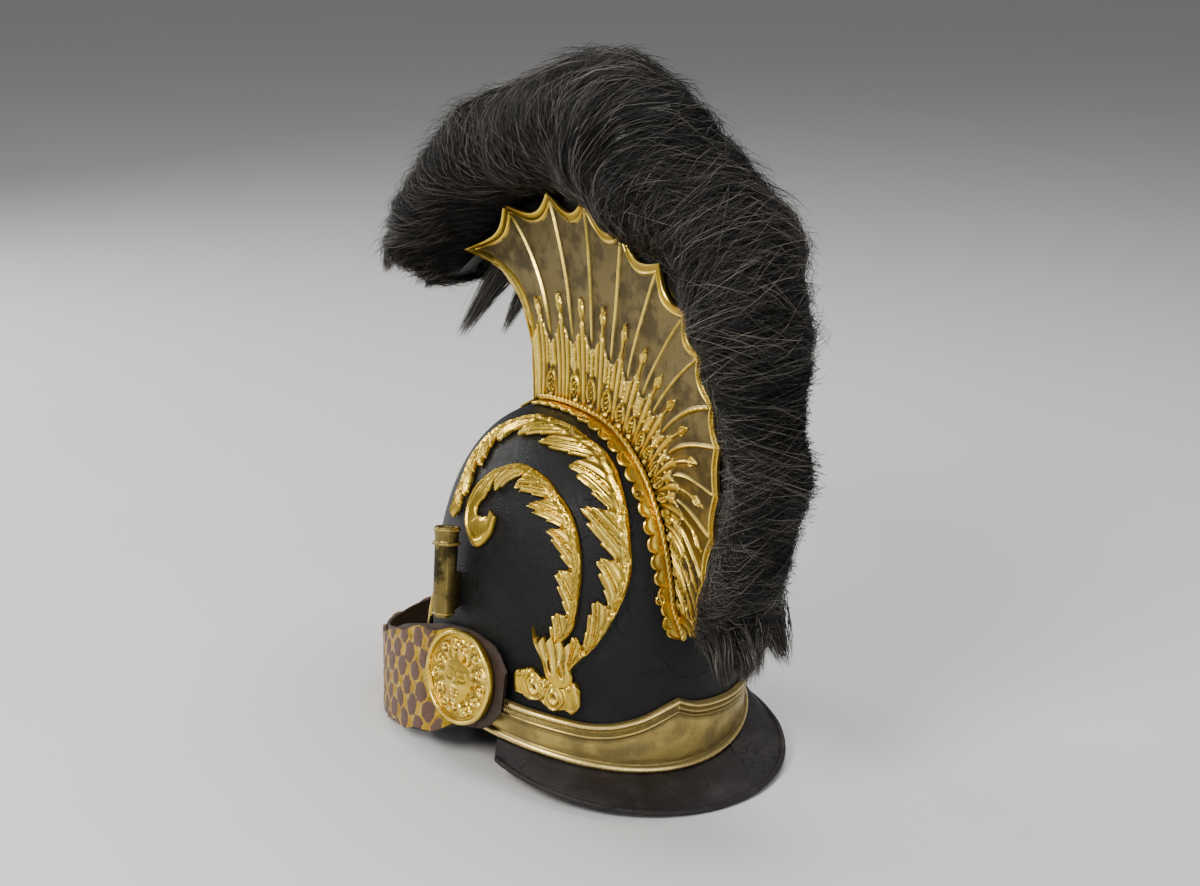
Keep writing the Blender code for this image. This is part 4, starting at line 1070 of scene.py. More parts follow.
calyxLook = {
    "turnLow": 133.3, "turnHigh": 129.6, "low": 11.6, "high": 18.4, "narrow": 3.2, "wide": 6.3, "tall": 4.6,
    "tips": (
        (0, 3.4), (0.07, 0.9), (0.14, 1.9), (0.20, 0.6), (0.33, 2.1), (0.40, 0.9), (0.55, 2.4), (0.62, 1.0),
        (0.78, 1.8), (0.86, 0.4), (1.0, 1.4)),
    "eyes": ((-0.36, 0.42), (0.34, 0.36)),  # across, up
}
knotLook = {"from": 117.0, "to": 140.0, "tall": 4.2, "half": 3.5, "eyes": (0.33, 0.62)}


def buildCalyx(side, sign):
    def shape(u, v, back):
        across = u * 2 - 1
        top = calyxLook["high"] + readTable(calyxLook["tips"], u)
        rise = between(calyxLook["low"], top, v)
        half = between(calyxLook["narrow"], calyxLook["wide"], v ** 0.7) + 0.5 * np.sin(v * 9)
        turn = between(calyxLook["turnLow"], calyxLook["turnHigh"], v) + half * across
        flute = 0.55 * np.cos(u * math.pi * 8.6 + 0.6 * np.sin(v * 5)) * smoothStep(0.15, 0.5, v)
        eye = 0.0
        for place, up in calyxLook["eyes"]:
            away = np.hypot((across - place) / 0.15, (v - up) / 0.17)
            eye = eye + 1.1 * bump(away - 1.1, 0.33) - 1.1 * (away < 0.75)
        arch = calyxLook["tall"] * dome(across * 0.97) * (1 - 0.4 * v)
        height = 0.5 + arch + flute + eye + 0.8 * smoothStep(0.85, 1.0, v)
        points = atRise(turn, rise, np.where(back, 0.4, 1.4 + np.maximum(height, 0.2)))
        return points, {"relief": np.clip(0.5 + flute * 0.8 + eye * 0.35, 0, 1)}

    piece = gridPiece("leaf_cup_" + side, 110, 60, shape, closed=True, sign=sign)
    dress(piece, giltBrass, "gilt_brass", "calyx_" + side)


def buildKnot(side, sign):
    def shape(u, v, back):
        across = v * 2 - 1
        turn = between(knotLook["from"], knotLook["to"], u)
        ends = dome(1 - np.clip(np.minimum(u, 1 - u) * 9, 0, 1))
        lobes = 0.88 + 0.12 * np.cos(u * math.tau * 3.1 + 1.2)
        half = knotLook["half"] * lobes * (0.35 + 0.65 * ends)
        rise = 10.9 - 1.8 * u + 0.5 * np.sin(u * math.pi * 2.2) + half * across * 0.9
        swirl, ring = 0.0, 0.0
        for place in knotLook["eyes"]:
            away = np.hypot((u - place) * 39, across * 6.2)
            ring = ring + 1.2 * bump(away - 2.3, 0.7) - 1.3 * bump(away, 1.1)
            swirl = swirl + 0.55 * np.cos(away * 2.7 + np.arctan2(across, u - place)) * bump(away - 5.6, 2.3)
        edge = 0.5 * bump(np.abs(across) - 0.82, 0.08)
        fold = 0.5 * np.cos(u * 46 + across * 2.2) * smoothStep(0.78, 0.9, u)
        arch = knotLook["tall"] * dome(across * 0.96) ** 0.7 * (0.45 + 0.55 * ends)
        height = arch + swirl + ring + edge + fold
        points = atRise(turn, rise, np.where(back, 0.4, 1.4 + np.maximum(height, 0.1)))
        return points, {"relief": np.clip(0.5 + 0.5 * (swirl + ring + edge + fold), 0, 1)}

    piece = gridPiece("ribbon_roll_" + side, 180, 41, shape, closed=True, sign=sign)
    dress(piece, giltBrass, "gilt_brass", "ribbon_knot_" + side)


for side, sign in sides:
    buildBranch("leaf_outer_" + side, "acanthus_outer_" + side, outerBranch, sign)
    buildBranch("leaf_inner_" + side, "acanthus_inner_" + side, innerBranch, sign)
    buildCalyx(side, sign)
    buildKnot(side, sign)
print("acanthus made")


# Plume socket: the eight-sided tube with two engraved collars

socket = {
    "foot": (108.2, -4.0, 98.0), "head": (100.2, -11.0, 155.0),
    "collars": (  # mm from the foot (below 0: back from the head), radius, height
        (-10.5, 8.9, 2.2), (-1.6, 8.9, 1.6), (2.6, 7.6, 1.4)),
}


def buildSocket():
    piece = fineCopy("socket_tube", "plume_socket", bevel=0.35)
    fillMask(piece, "relief", 0.42)
    dress(piece, darkBrass, "worn_brass", "plume_socket")
    foot, head = Vector(socket["foot"]), Vector(socket["head"])
    axis = (head - foot).normalized()
    length = (head - foot).length
    turned = Vector((0, 0, 1)).rotation_difference(axis).to_matrix().to_4x4()
    spin = Matrix.Rotation(math.radians(22.5), 4, "Z")  # corners over the tube's corners
    for number, (place, radius, tall) in enumerate(socket["collars"]):
        pick(None)
        bpy.ops.mesh.primitive_torus_add(major_segments=8, minor_segments=10,
                                         major_radius=radius * mm * 0.93, minor_radius=tall * mm * 0.5)
        ring = bpy.context.object
        ring.name = "socket_collar_%d" % (number + 1)
        ring.data.transform(Matrix.Translation((foot + axis * (place % length)) * mm) @ turned @ spin)
        fillMask(ring, "relief", 0.75)
        shadeSmooth(ring, 40)
        dress(ring, darkBrass, "worn_brass")


# Chin strap: brown leather carrying rows of overlapping scales, worn bare in the middle of each

strap = {
    "wall": 2.2, "scale": 1.0, "space": 0.6, "centre": 20.0, "reach": 130.0, "side": 107.7, "power": 2.5,
    "tail": 37.0, "turn": 90.0, "pitch": 18.4, "rows": 3.0, "bump": 2.0,
    "tailScales": 9.0, "straight": 16, "spread": 3.0,
    "edges": (  # mm from the boss's centre, lower edge, upper edge
        (-37, 52, 73), (-33, 44, 81), (-24, 35, 89), (0, 30, 93), (25, 18, 90), (45, 12, 84), (70, 6, 76),
        (85, 3, 68), (100, 1, 63), (125, 0, 55), (160, 0, 49), (400, 0, 49)),
}
boss = {
    "centre": (106.1, 13.9, 62.5), "azimuth": 99.5, "tilt": 8.0, "radius": 30.6,
    "edge": (  # from the middle of the back to the middle of the face: share of the radius, height
        (0, 0, 0), (0.02, 0.99, 0), (0.05, 1.0, 0.3), (0.08, 1.0, 2.2), (0.11, 0.99, 3.6),
        (0.14, 0.97, 4.3), (0.17, 0.945, 4.4), (0.20, 0.92, 3.9), (0.22, 0.905, 2.6), (0.24, 0.89, 1.5),
        (1, 0, 1.4)),
}


def strapPlan():
    angle = np.radians(np.linspace(0, 90, 61))
    x = strap["side"] * np.cos(angle).clip(0) ** (2 / strap["power"])
    y = strap["centre"] + strap["reach"] * np.sin(angle) ** (2 / strap["power"])
    lean = math.radians(boss["azimuth"] - 90)
    behind = strap["wall"] + strap["space"] + strap["scale"] + skull["gap"]
    start = np.array([boss["centre"][0] - behind, -boss["centre"][1]])
    run = np.array([math.sin(lean), math.cos(lean)])
    plan = np.vstack([start - run * strap["tail"], start - run * strap["tail"] / 2, start,
                      start + run * strap["straight"], np.stack([x, y], axis=-1)])
    steps = np.linalg.norm(np.diff(plan, axis=0), axis=1)
    travelled = np.concatenate([[0], np.cumsum(steps)]) - strap["tail"]
    return np.column_stack([travelled, plan])


strapTable = strapPlan()  # mm from the boss's centre, left, forward
strapHalf = strapTable[-1, 0]


def strapPlace(distance, height, depth):  # distance from the boss's centre, both ways from the left boss
    def spotAt(place):
        return np.stack(readTable(strapTable, place), axis=-1)

    reached = np.clip(distance, -strap["tail"], strapHalf)
    spot, spread = spotAt(reached), strap["spread"]
    run = unit(spotAt(reached + spread) - spotAt(reached - spread))
    run = np.where((reached > strapHalf - spread)[:, None], np.array([[-1.0, 0.0]]), run)
    fade = np.clip((boss["radius"] + strap["turn"] - distance) / (strap["turn"] - 3), 0, 1)
    shift = depth - (height - boss["centre"][2]) * math.tan(math.radians(boss["tilt"])) * fade
    return stackPoints(spot[:, 0] + run[:, 1] * shift, -(spot[:, 1] - run[:, 0] * shift), height)


def strapEdges(distance):
    return readSoftly(strap["edges"], [distance + shift for shift in (-4, -2, 0, 2, 4)])


def bothSides(u, first):  # the distance and the side, from the left tail round the front to the right tail
    across = u * 2 - 1
    return (strapHalf - first) * (1 - np.abs(across)) + first, np.where(across <= 0, 1.0, -1.0)


def buildStrap():
    def leather(u, v):
        distance, sign = bothSides(u, -strap["tail"])
        low, high = strapEdges(distance)
        up, deep = readTable(((0, 0, 1), (0.44, 1, 1), (0.5, 1, 0), (0.94, 0, 0), (1, 0, 1)), v)
        height = between(low, high, up)
        bulge = 0.25 * np.sin(distance / 7.0) * smoothStep(0.02, 0.1, np.minimum(up, 1 - up))
        points = strapPlace(distance, height, strap["wall"] * deep + bulge * (deep < 0.5))
        points[:, 0] *= sign
        return points, {"relief": 0.5 + 0 * u}

    piece = gridPiece("strap_band", 420, 26, leather)
    mergeSeams(piece)
    faceOutwards(piece)
    dress(piece, brownLeather, "brown_leather", "strap_leather")

    def scales(u, v, back):
        distance, sign = bothSides(u, strap["tailScales"] - strap["tail"])
        low, high = strapEdges(distance)
        hidden = np.sqrt(np.clip((boss["radius"] - 2) ** 2 - np.minimum(distance, 0) ** 2, 1, None))
        low = np.where(distance < 0, np.maximum(low, boss["centre"][2] - hidden), low)
        high = np.where(distance < 0, np.minimum(high, boss["centre"][2] + hidden), high)
        column = distance / strap["pitch"]
        low = low + 1.4 + 0.8 * np.cos(column * math.pi) + 0.4 * np.sin(distance / 5)
        high = high - 2.2 - 1.2 * np.cos(column * math.pi + 1) + 0.5 * np.sin(distance / 6)
        height = between(low, high, v)
        row = v * strap["rows"] + 0.25 + 0.18 * np.sin(distance / 17)
        best = np.full_like(u, 9.0)
        for moveColumn, moveRow in ((0, 0.5), (0.5, 0.0)):
            aside = (column - moveColumn + 0.5) % 1 - 0.5
            upward = (row - moveRow + 0.5) % 1 - 0.5
            cell = np.floor(column - moveColumn + 0.5) * 5.3 + np.floor(row - moveRow + 0.5) * 2.7
            size = 1 + 0.13 * np.sin(cell)
            away = np.hypot(aside / 0.38, upward / 0.40) + 0.20 * np.abs(upward / 0.40) ** 3 - 0.07
            away = away + 0.10 * np.sin(distance * 0.8 + cell) * np.sin(height * 0.7 + cell)
            best = np.minimum(best, away / size)
        outside = np.hypot(distance, height - boss["centre"][2]) - boss["radius"]
        clear = smoothStep(0.8, 4.5, outside) * (distance > 0)
        swell = dome(np.clip(best * 0.95, 0, 1)) ** 0.8
        line = bump(best - 1.08, 0.12)
        depth = strap["wall"] + strap["space"]
        shown = strap["scale"] + clear * (strap["bump"] * swell * 0.75 + 0.4 * line)
        shown = shown + 0.25 * bump(v - 0.03, 0.02) * clear
        points = strapPlace(distance, height, depth + np.where(back, 0, shown))
        points[:, 0] *= sign
        worn = smoothStep(0.92, 0.62, best) * clear * smoothStep(0, 5, outside)
        relief = 0.45 + 0.25 * swell + 0.4 * line - 0.35 * bump(best - 1.35, 0.1)
        return points, {"relief": np.clip(relief, 0, 1), "worn": worn}

    piece = gridPiece("scale_rows", 560, 51, scales, closed=True)
    dress(piece, scaledBrass, "gilt_brass", "strap_scales")


# Boss: a rolled rim round a calm, plain face with curling locks

mask = {"halfWidth": 13.4, "halfHeight": 17.2, "up": -0.6, "locks": 15, "reach": 24.6, "curls": 13}


def maskFace(side, up):  # the face's dome, and what lies on it (both run from -1 to 1)
    wide = np.abs(side)

    def pair(place, level, width, tall):
        return np.hypot((wide - place) / width, (up - level) / tall)

    face = 3.6 * dome(np.hypot(side * (1 + 0.22 * smoothStep(-0.1, -0.9, up)), up)) ** 0.7
    brow = 0.7 * bump(up - 0.29 + 0.5 * (wide - 0.38) ** 2, 0.06)
    brow = brow * smoothStep(0.80, 0.6, wide) * smoothStep(0.02, 0.16, wide)
    eyes = 1.35 * dome(pair(0.38, 0.10, 0.20, 0.09)) - 1.1 * bump(pair(0.38, 0.12, 0.25, 0.15), 1)
    lids = 0.5 * bump(pair(0.38, 0.105, 0.20, 0.095) - 1.05, 0.17)
    bridge = 0.10 + 0.09 * np.clip((0.1 - up) / 0.4, 0, 1)
    nose = 2.4 * bump(side / bridge, 1) * smoothStep(0.36, -0.2, up) * smoothStep(-0.37, -0.29, up)
    nostrils = 0.9 * dome(pair(0.13, -0.27, 0.09, 0.07))
    cheeks = 0.5 * bump(pair(0.54, -0.18, 0.22, 0.24), 1)
    mouth = bump(up + 0.47, 0.04) * smoothStep(0.34, 0.18, wide)
    mouth = mouth + 1.2 * bump(up + 0.60, 0.05) * smoothStep(0.28, 0.12, wide)
    mouth = mouth - 0.9 * bump(up + 0.53, 0.025) * smoothStep(0.36, 0.2, wide)
    chin = 0.9 * dome(np.hypot(side / 0.26, (up + 0.82) / 0.13))
    return face, brow + eyes + lids + nose + nostrils + cheeks + mouth + chin


def maskRelief(x, y):  # height over the field, and how far it stands clear of its hollows
    side, up = x / mask["halfWidth"], (y - mask["up"]) / mask["halfHeight"]
    faceAt = np.hypot(side * (1 + 0.22 * smoothStep(-0.1, -0.9, up)), up)
    faceAt = np.maximum(faceAt, 1 + (up - 0.84 + 0.36 * np.abs(side)) * 1.6)  # the hairline, parted
    face, detail = maskFace(side, up)
    onFace = smoothStep(1.0, 0.95, faceAt)
    height = onFace * (0.9 + face + detail)
    clear = np.where(onFace > 0.5, 0.55 + 0.40 * detail, 0.45)
    away = np.hypot(x, y)
    around = np.abs(np.arctan2(x, y))
    phase = around * mask["locks"] + 1.3 * np.sin(away / 3.2 + around * 2)
    lock = 0.5 + 0.5 * np.cos(phase)
    reach = mask["reach"] + 1.3 * np.cos(phase)
    hair = smoothStep(0.93, 1.02, faceAt) * smoothStep(reach + 0.8, reach - 1.2, away)
    fall = np.interp(away, (10, 16, 19, 25), (0.45, 0.6, 1.0, 0.6))
    height = height + hair * (1.2 + 1.5 * lock + 0.25 * np.cos(phase * 2 + 1)) * fall
    clear = np.where(hair > 0.3, 0.15 + 0.8 * lock, clear)
    for number in range(mask["curls"]):
        turn = (number + 0.5) * math.tau / mask["curls"]
        radius = 19.6 + 1.8 * (number % 2)
        dx, dy = x - radius * math.sin(turn), y - radius * math.cos(turn)
        near = np.hypot(dx, dy)
        coil = 0.5 + 0.5 * np.cos(near * 1.75 - np.arctan2(dy, dx) * (1 if turn < math.pi else -1))
        curl = (0.6 + 1.9 * coil) * smoothStep(4.3, 3.5, near) * smoothStep(0.98, 1.06, faceAt)
        clear = np.where((curl > height) | (near < 3.6) & (faceAt > 1.04), coil, clear)
        height = np.where((near < 3.8) & (faceAt > 1.04), curl, np.maximum(height, curl))
    return height, clear


def buildBoss(side, sign):
    facing = np.array(direction(boss["azimuth"], boss["tilt"])) * (sign, 1, 1)
    across = unit(np.cross([0, 0, 1], facing))
    upright = np.cross(facing, across)
    centre = np.array(boss["centre"]) * (sign, 1, 1)

    def shape(u, v):
        angle = u * math.tau
        radius, height = readTable(boss["edge"], v)
        radius = radius * boss["radius"]
        x, y = radius * np.sin(angle), radius * np.cos(angle)
        field = smoothStep(0.24, 0.27, v)
        raised, clear = maskRelief(x, y)
        raised = raised * smoothStep(26.8, 25.3, radius) * field
        height = height + raised * 0.9
        points = centre + x[:, None] * across + y[:, None] * upright + height[:, None] * facing
        clear = np.where(raised < 0.15, 0.42, np.clip(clear, 0, 1))
        return points, {"relief": np.where(v < 0.24, 0.55 + 0.35 * bump(v - 0.15, 0.05), clear)}

    piece = gridPiece("boss_mask_" + side, 230, 130, shape, wrap=True)
    dress(piece, giltBrass, "gilt_brass", "boss_" + side)


buildSocket()
buildStrap()
for side, sign in sides:
    buildBoss(side, sign)
print("socket, strap and bosses made")


# Comb front and the core between the plates

tabLook = {"centre": (0, -144.5, 299.6), "lean": 0.35, "half": (3.4, 6.2, 1.7)}
for name, node in (("comb_front_strip", "comb_front"), ("comb_front_toe", "comb_front_foot")):
    piece = fineCopy(name, node, bevel=0.4, segments=3)
    fillMask(piece, "relief", 0.5)
    dress(piece, giltBrass, "gilt_brass", node)
pick(None)
bpy.ops.mesh.primitive_uv_sphere_add(segments=24, ring_count=14, radius=1)
tab = bpy.context.object
tab.name = "comb_front_tab"
tab.data.transform(Matrix.Translation(Vector(tabLook["centre"]) * mm)
                   @ Matrix.Rotation(tabLook["lean"], 4, "X")
                   @ Matrix.Diagonal((*(half * mm for half in tabLook["half"]), 1)))
fillMask(tab, "relief", 0.7)
shadeSmooth(tab, 60)
dress(tab, giltBrass, "gilt_brass")
core = fineCopy("core_former", "crest_core", bevel=0.4)
dress(core, brownLeather, "brown_leather", "crest_core")


# Fur: a dense body under layers of hair, all following one flow from the comb's edge to the ridge

furRows = (  # rib, tip forward, tip height, half width, length of the narrow root
    (-0.40, 168.0, 274.0, 25.0, 14.0), (-0.20, 187.0, 286.0, 44.0, 24.0), (0.05, 196.0, 301.0, 57.0, 32.0),
    (0.40, 195.0, 323.0, 62.0, 30.0), (0.80, 182.0, 353.0, 60.0, 26.0), (1.15, 155.0, 384.0, 57.0, 22.0),
    (1.60, 112.0, 409.0, 54.0, 20.0), (2.10, 66.0, 428.0, 52.0, 19.0), (2.60, 26.0, 444.0, 51.0, 18.0),
    (3.10, -14.0, 452.0, 50.0, 18.0), (3.70, -54.0, 447.0, 50.0, 18.0), (4.40, -94.0, 430.0, 50.0, 18.0),
    (5.10, -130.0, 402.0, 51.0, 17.0), (5.80, -163.0, 373.0, 52.0, 16.0), (6.50, -185.0, 338.0, 52.0, 15.0),
    (7.20, -196.0, 300.0, 51.0, 14.0), (8.10, -192.0, 262.0, 48.0, 10.0), (9.10, -193.0, 222.0, 46.0, 8.0),
    (10.1, -189.0, 184.0, 43.0, 8.0), (11.1, -183.0, 150.0, 39.0, 8.0), (12.0, -175.0, 119.0, 32.0, 8.0),
    (12.7, -166.0, 97.0, 22.0, 8.0))
fur = {
    "rootWidth": 5.8, "inset": 2.5, "seat": 0.8, "shrink": 0.92, "flankSlope": 0.66,
    "layers": 4, "perLayer": 7600, "rootHairs": 6500, "segments": 5, "seed": 7,
    "length": 46.0, "thick": 0.30, "sink": -1.0, "clumps": 84, "step": 0.004,
    "widths": (0.55, 0.95, 0.97, 0.64, 0, -0.64),  # shares of the half width, from the root over the ridge
}


def furFrame():
    rows = np.array(furRows)
    rib = np.clip(rows[:, 0], 0, comb["bays"] - 1e-6)
    slack = rows[:, 0] - rib
    table = np.asarray(comb["ribs"], float)
    step = table[1] - table[0]
    row = linearRows(table, rib) + slack[:, None] * step
    tip, bend = row[:, 0:2], row[:, 2:4]
    base = tip + unit(bend - tip) * (row[:, 5:6] + fur["inset"])
    return np.column_stack([base, rows[:, 1:]])


furTable = furFrame()  # base forward, base height, tip forward, tip height, half width, root


def furRow(run):
    return throughRows(furTable, np.clip(run, 0, 1) * (len(furTable) - 1))


# Run goes from 0 at the front end to 1 at the lower end. Around goes from -1 at the left root over the
# ridge to 1 at the right root.

def furPoint(run, around, swell=1.0):
    row = furRow(run)
    base, tip = row[:, 0:2], row[:, 2:4]
    out = tip - base
    tall = np.linalg.norm(out, axis=1)
    out /= tall[:, None]
    tall = tall * swell
    half, root = row[:, 4] * swell, row[:, 5]
    w = np.clip(1 - np.abs(around), 0, 1) * 6
    zero = np.zeros_like(w)
    up = (zero + fur["seat"], root, root + 5, np.maximum(0.42 * tall, root + 9),
          np.maximum(0.66 * tall, root + 14), 0.90 * tall, tall, 0.90 * tall)
    slope = fur["flankSlope"] + 1.7 * np.clip(0.65 + np.minimum(out[:, 0], 0), 0, None)
    side = [zero + fur["rootWidth"]] * 2
    for share, high in zip(fur["widths"], up[2:]):
        steep = slope * high * (0.66 + 0.34 * smoothStep(20, 60, high))
        side.append(np.minimum(share * half, fur["rootWidth"] + steep))
    side, up = np.stack(side, axis=-1), np.stack(up, axis=-1)
    index = np.clip(np.floor(w).astype(int), 0, 5)
    t = w - index
    pickRow = np.arange(len(w))

    def along(values):
        return smoothBetween(values[pickRow, np.maximum(index - 1, 0)], values[pickRow, index],
                             values[pickRow, index + 1], values[pickRow, index + 2], t)

    sideways, high = along(side), along(up)
    flat = base + out * high[:, None]
    return stackPoints(sideways * np.where(around > 0, -1, 1), -flat[:, 0], flat[:, 1])


def furNormal(run, around, swell):
    step = fur["step"]
    alongRun = furPoint(run + step, around, swell) - furPoint(run - step, around, swell)
    alongRound = furPoint(run, around + step, swell) - furPoint(run, around - step, swell)
    normal = unit(np.cross(alongRound, alongRun))
    row = furRow(run)
    heart = row[:, 0:2] + (row[:, 2:4] - row[:, 0:2]) * 0.5
    away = furPoint(run, around, swell) - stackPoints(0 * run, -heart[:, 0], heart[:, 1])
    return normal * np.sign(np.sum(normal * away, axis=1, keepdims=True))


def furLumps(run, around):  # soft swellings and partings across the fur, mm
    ends = smoothStep(0, 0.04, np.minimum(run, 1 - run)) * smoothStep(0.97, 0.72, np.abs(around))
    wave = np.sin(run * 31 + 2.3 * np.sin(around * 3.1)) + 0.8 * np.sin(run * 63 - around * 6 + 1)
    fine = np.sin(run * 149 + around * 11 + 2 * np.sin(around * 7)) * np.cos(around * 9 + run * 50)
    return ends * (2.6 * wave + 1.6 * fine)


def furSweep(run, around):  # how far the hair turns along the crest, in shares of its length
    side = np.abs(around)
    swirl = 0.030 * np.sin(run * 23 + 2.2 * np.sin(side * 4)) + 0.018 * np.sin(run * 57 + side * 9 + around)
    return swirl + 0.045 * smoothStep(0.72, 0.95, run) - 0.05 * smoothStep(0.22, 0.0, run)


def buildFurBody():
    def shape(u, v):
        around = v * 2 - 1
        points = furPoint(u, around, fur["shrink"])
        lock = np.minimum(furLumps(u, around) - 1.5 * smoothStep(0.97, 0.8, np.abs(around)), 3)
        outward = furNormal(np.clip(u, 0.005, 0.995), np.clip(around, -0.99, 0.99), fur["shrink"])
        points = points + outward * lock[:, None]
        # With along at 0 the body takes the root colour all over, painted shade under the hair.
        return points, {"along": 0 * u, "paintedHighlight": 0 * u}

    piece = gridPiece("fur_body", 260, 60, shape)
    pick(piece)
    bpy.ops.object.mode_set(mode="EDIT")
    selectBorder()
    bpy.ops.mesh.edge_face_add()
    bpy.ops.mesh.select_all(action="SELECT")
    bpy.ops.mesh.quads_convert_to_tris()
    bpy.ops.mesh.normals_make_consistent(inside=False)
    bpy.ops.object.mode_set(mode="OBJECT")
    shadeSmooth(piece, 70)
    dress(piece, furHair, "black_fur", "crest_fur")


# Each hair is a three-sided spike, closed at its root and its tip, along one row of points in paths.

def hairMesh(name, paths, thick, paintedHighlight):
    count, steps = paths.shape[:2]
    run = unit(np.gradient(paths, axis=1))
    sideways = unit(np.cross(run, np.array([0.31, 0.87, 0.38])))
    other = np.cross(run, sideways)
    share = np.linspace(0, 1, steps)
    radius = (thick[:, None] * (1 - share[None, :] ** 1.5 * 0.8))[..., None]
    angles = [math.tau * corner / 3 for corner in range(3)]
    corners = [paths + (sideways * math.cos(angle) + other * math.sin(angle)) * radius for angle in angles]
    rings = np.stack(corners, axis=2)[:, :-1]
    perHair = (steps - 1) * 3 + 1
    points = np.concatenate([rings.reshape(count, -1, 3), paths[:, -1:, :]], axis=1).reshape(-1, 3)
    faces = [(0, 2, 1)]
    for step in range(steps - 2):
        for corner in range(3):
            near = (corner + 1) % 3
            a, b = step * 3 + corner, step * 3 + near
            faces += [(a, b, b + 3), (a, b + 3, a + 3)]
    top = (steps - 2) * 3
    faces += [(top + corner, top + (corner + 1) % 3, perHair - 1) for corner in range(3)]
    faces = np.array(faces)
    every = (faces[None] + (np.arange(count) * perHair)[:, None, None]).reshape(-1, 3)
    mesh = bpy.data.meshes.new(name)
    mesh.vertices.add(len(points))
    mesh.vertices.foreach_set("co", (points * mm).ravel())
    mesh.loops.add(every.size)
    mesh.loops.foreach_set("vertex_index", every.ravel())
    mesh.polygons.add(len(every))
    mesh.polygons.foreach_set("loop_start", np.arange(len(every)) * 3)
    mesh.update(calc_edges=True)
    mesh.polygons.foreach_set("use_smooth", np.ones(len(every), bool))
    piece = bpy.data.objects.new(name, mesh)
    bpy.context.scene.collection.objects.link(piece)
    # along runs from the root to the tip; the material uses it to paint shade at the root end.
    along = np.concatenate([np.repeat(share[:-1], 3), [1.0]])
    storeMask(piece, "along", np.tile(along, count))
    # Each hair's share of the light colour, a painted highlight.
    storeMask(piece, "paintedHighlight", np.repeat(paintedHighlight, perHair))
    return piece


def buildHair():
    chance = np.random.default_rng(fur["seed"])
    steps = fur["segments"]
    for layer in range(fur["layers"]):
        count = fur["perLayer"]
        run = chance.uniform(0.0, 1.0, count)
        around = chance.uniform(0.0, 0.93, count) * np.where(chance.random(count) < 0.5, 1, -1)
        reach = fur["length"] * chance.uniform(0.5, 1.2, count)
        row = furRow(run)
        girth = np.linalg.norm(row[:, 2:4] - row[:, 0:2], axis=1) + row[:, 4] * 0.7
        clump = np.floor(run * fur["clumps"] + 1.4 * np.sin(around * 7 + run * 30))
        clumpRun = (clump + 0.5 + 0.35 * np.sin(clump * 7.3)) / fur["clumps"]
        pull = 0.5 * chance.uniform(0.2, 1.0, count)
        stray = layer == fur["layers"] - 1  # the top layer is loose, curved hair
        lean = chance.normal(0, 0.034 if stray else 0.016, count) + furSweep(run, around)
        rise = chance.gamma(2.0, 1.0, count) * (0.9 + 0.5 * layer)
        rise = rise * (0.75 + 0.6 * np.abs(np.sin(clump * 2.9 + np.floor(around * 5))))
        rise = np.minimum(rise, 8) * (1 + 0.9 * smoothStep(0.4, 0.0, np.abs(around)))
        curl = chance.normal(0, 5.0 if stray else 1.8, count)
        phase = chance.uniform(0, math.tau, count)
        path = []
        for step in range(steps):
            share = step / (steps - 1)
            moved = around - np.sign(around) * reach * share / girth
            position = run + lean * share
            position = position + (clumpRun + furSweep(run, around) * share - position) * pull * share
            position = np.clip(position, 0.002, 0.998)
            base = furPoint(position, moved, fur["shrink"])
            normal = furNormal(position, moved, fur["shrink"])
            lumps = furLumps(position, moved)
            height = fur["sink"] + lumps + rise * share ** 1.3
            wave = curl * np.sin(phase + share * 3.2) * share
            ahead = unit(furPoint(position + fur["step"], moved, fur["shrink"]) - base)
            path.append(base + normal * height[:, None] + ahead * wave[:, None])
        paths = np.stack(path, axis=1)
        # A few hairs get the light colour as a painted highlight, more of them in the loose top layer.
        paintedHighlight = chance.random(count) ** 7
        if stray:
            paintedHighlight = np.where(chance.random(count) < 0.3, chance.uniform(0.45, 1.0, count), paintedHighlight)
        thick = fur["thick"] * chance.uniform(0.5, 0.9 if stray else 1.15, count)
        piece = hairMesh("fur_hair_%d" % (layer + 1), paths, thick, paintedHighlight)
        dress(piece, furHair, "black_fur")


tufts = (  # from, to, radius at the start, hairs
    ((-24, -112, 304), (-24, -196, 228), 10.0, 900), ((-20, -78, 308), (-18, -128, 244), 8.0, 600),
    ((20, -160, 304), (26, -199, 284), 13.0, 700), ((-22, -160, 300), (-26, -198, 270), 13.0, 700),
    ((40, -172, 306), (42, -188, 282), 8.0, 600), ((-44, -168, 304), (-48, -188, 274), 9.0, 500),
    ((0, 158, 122), (0, 168, 90), 13.0, 1200), ((-20, 156, 128), (-26, 172, 98), 12.0, 800),
    ((16, 162, 126), (20, 174, 95), 11.0, 800), ((6, 174, 128), (6, 186, 102), 11.0, 600))


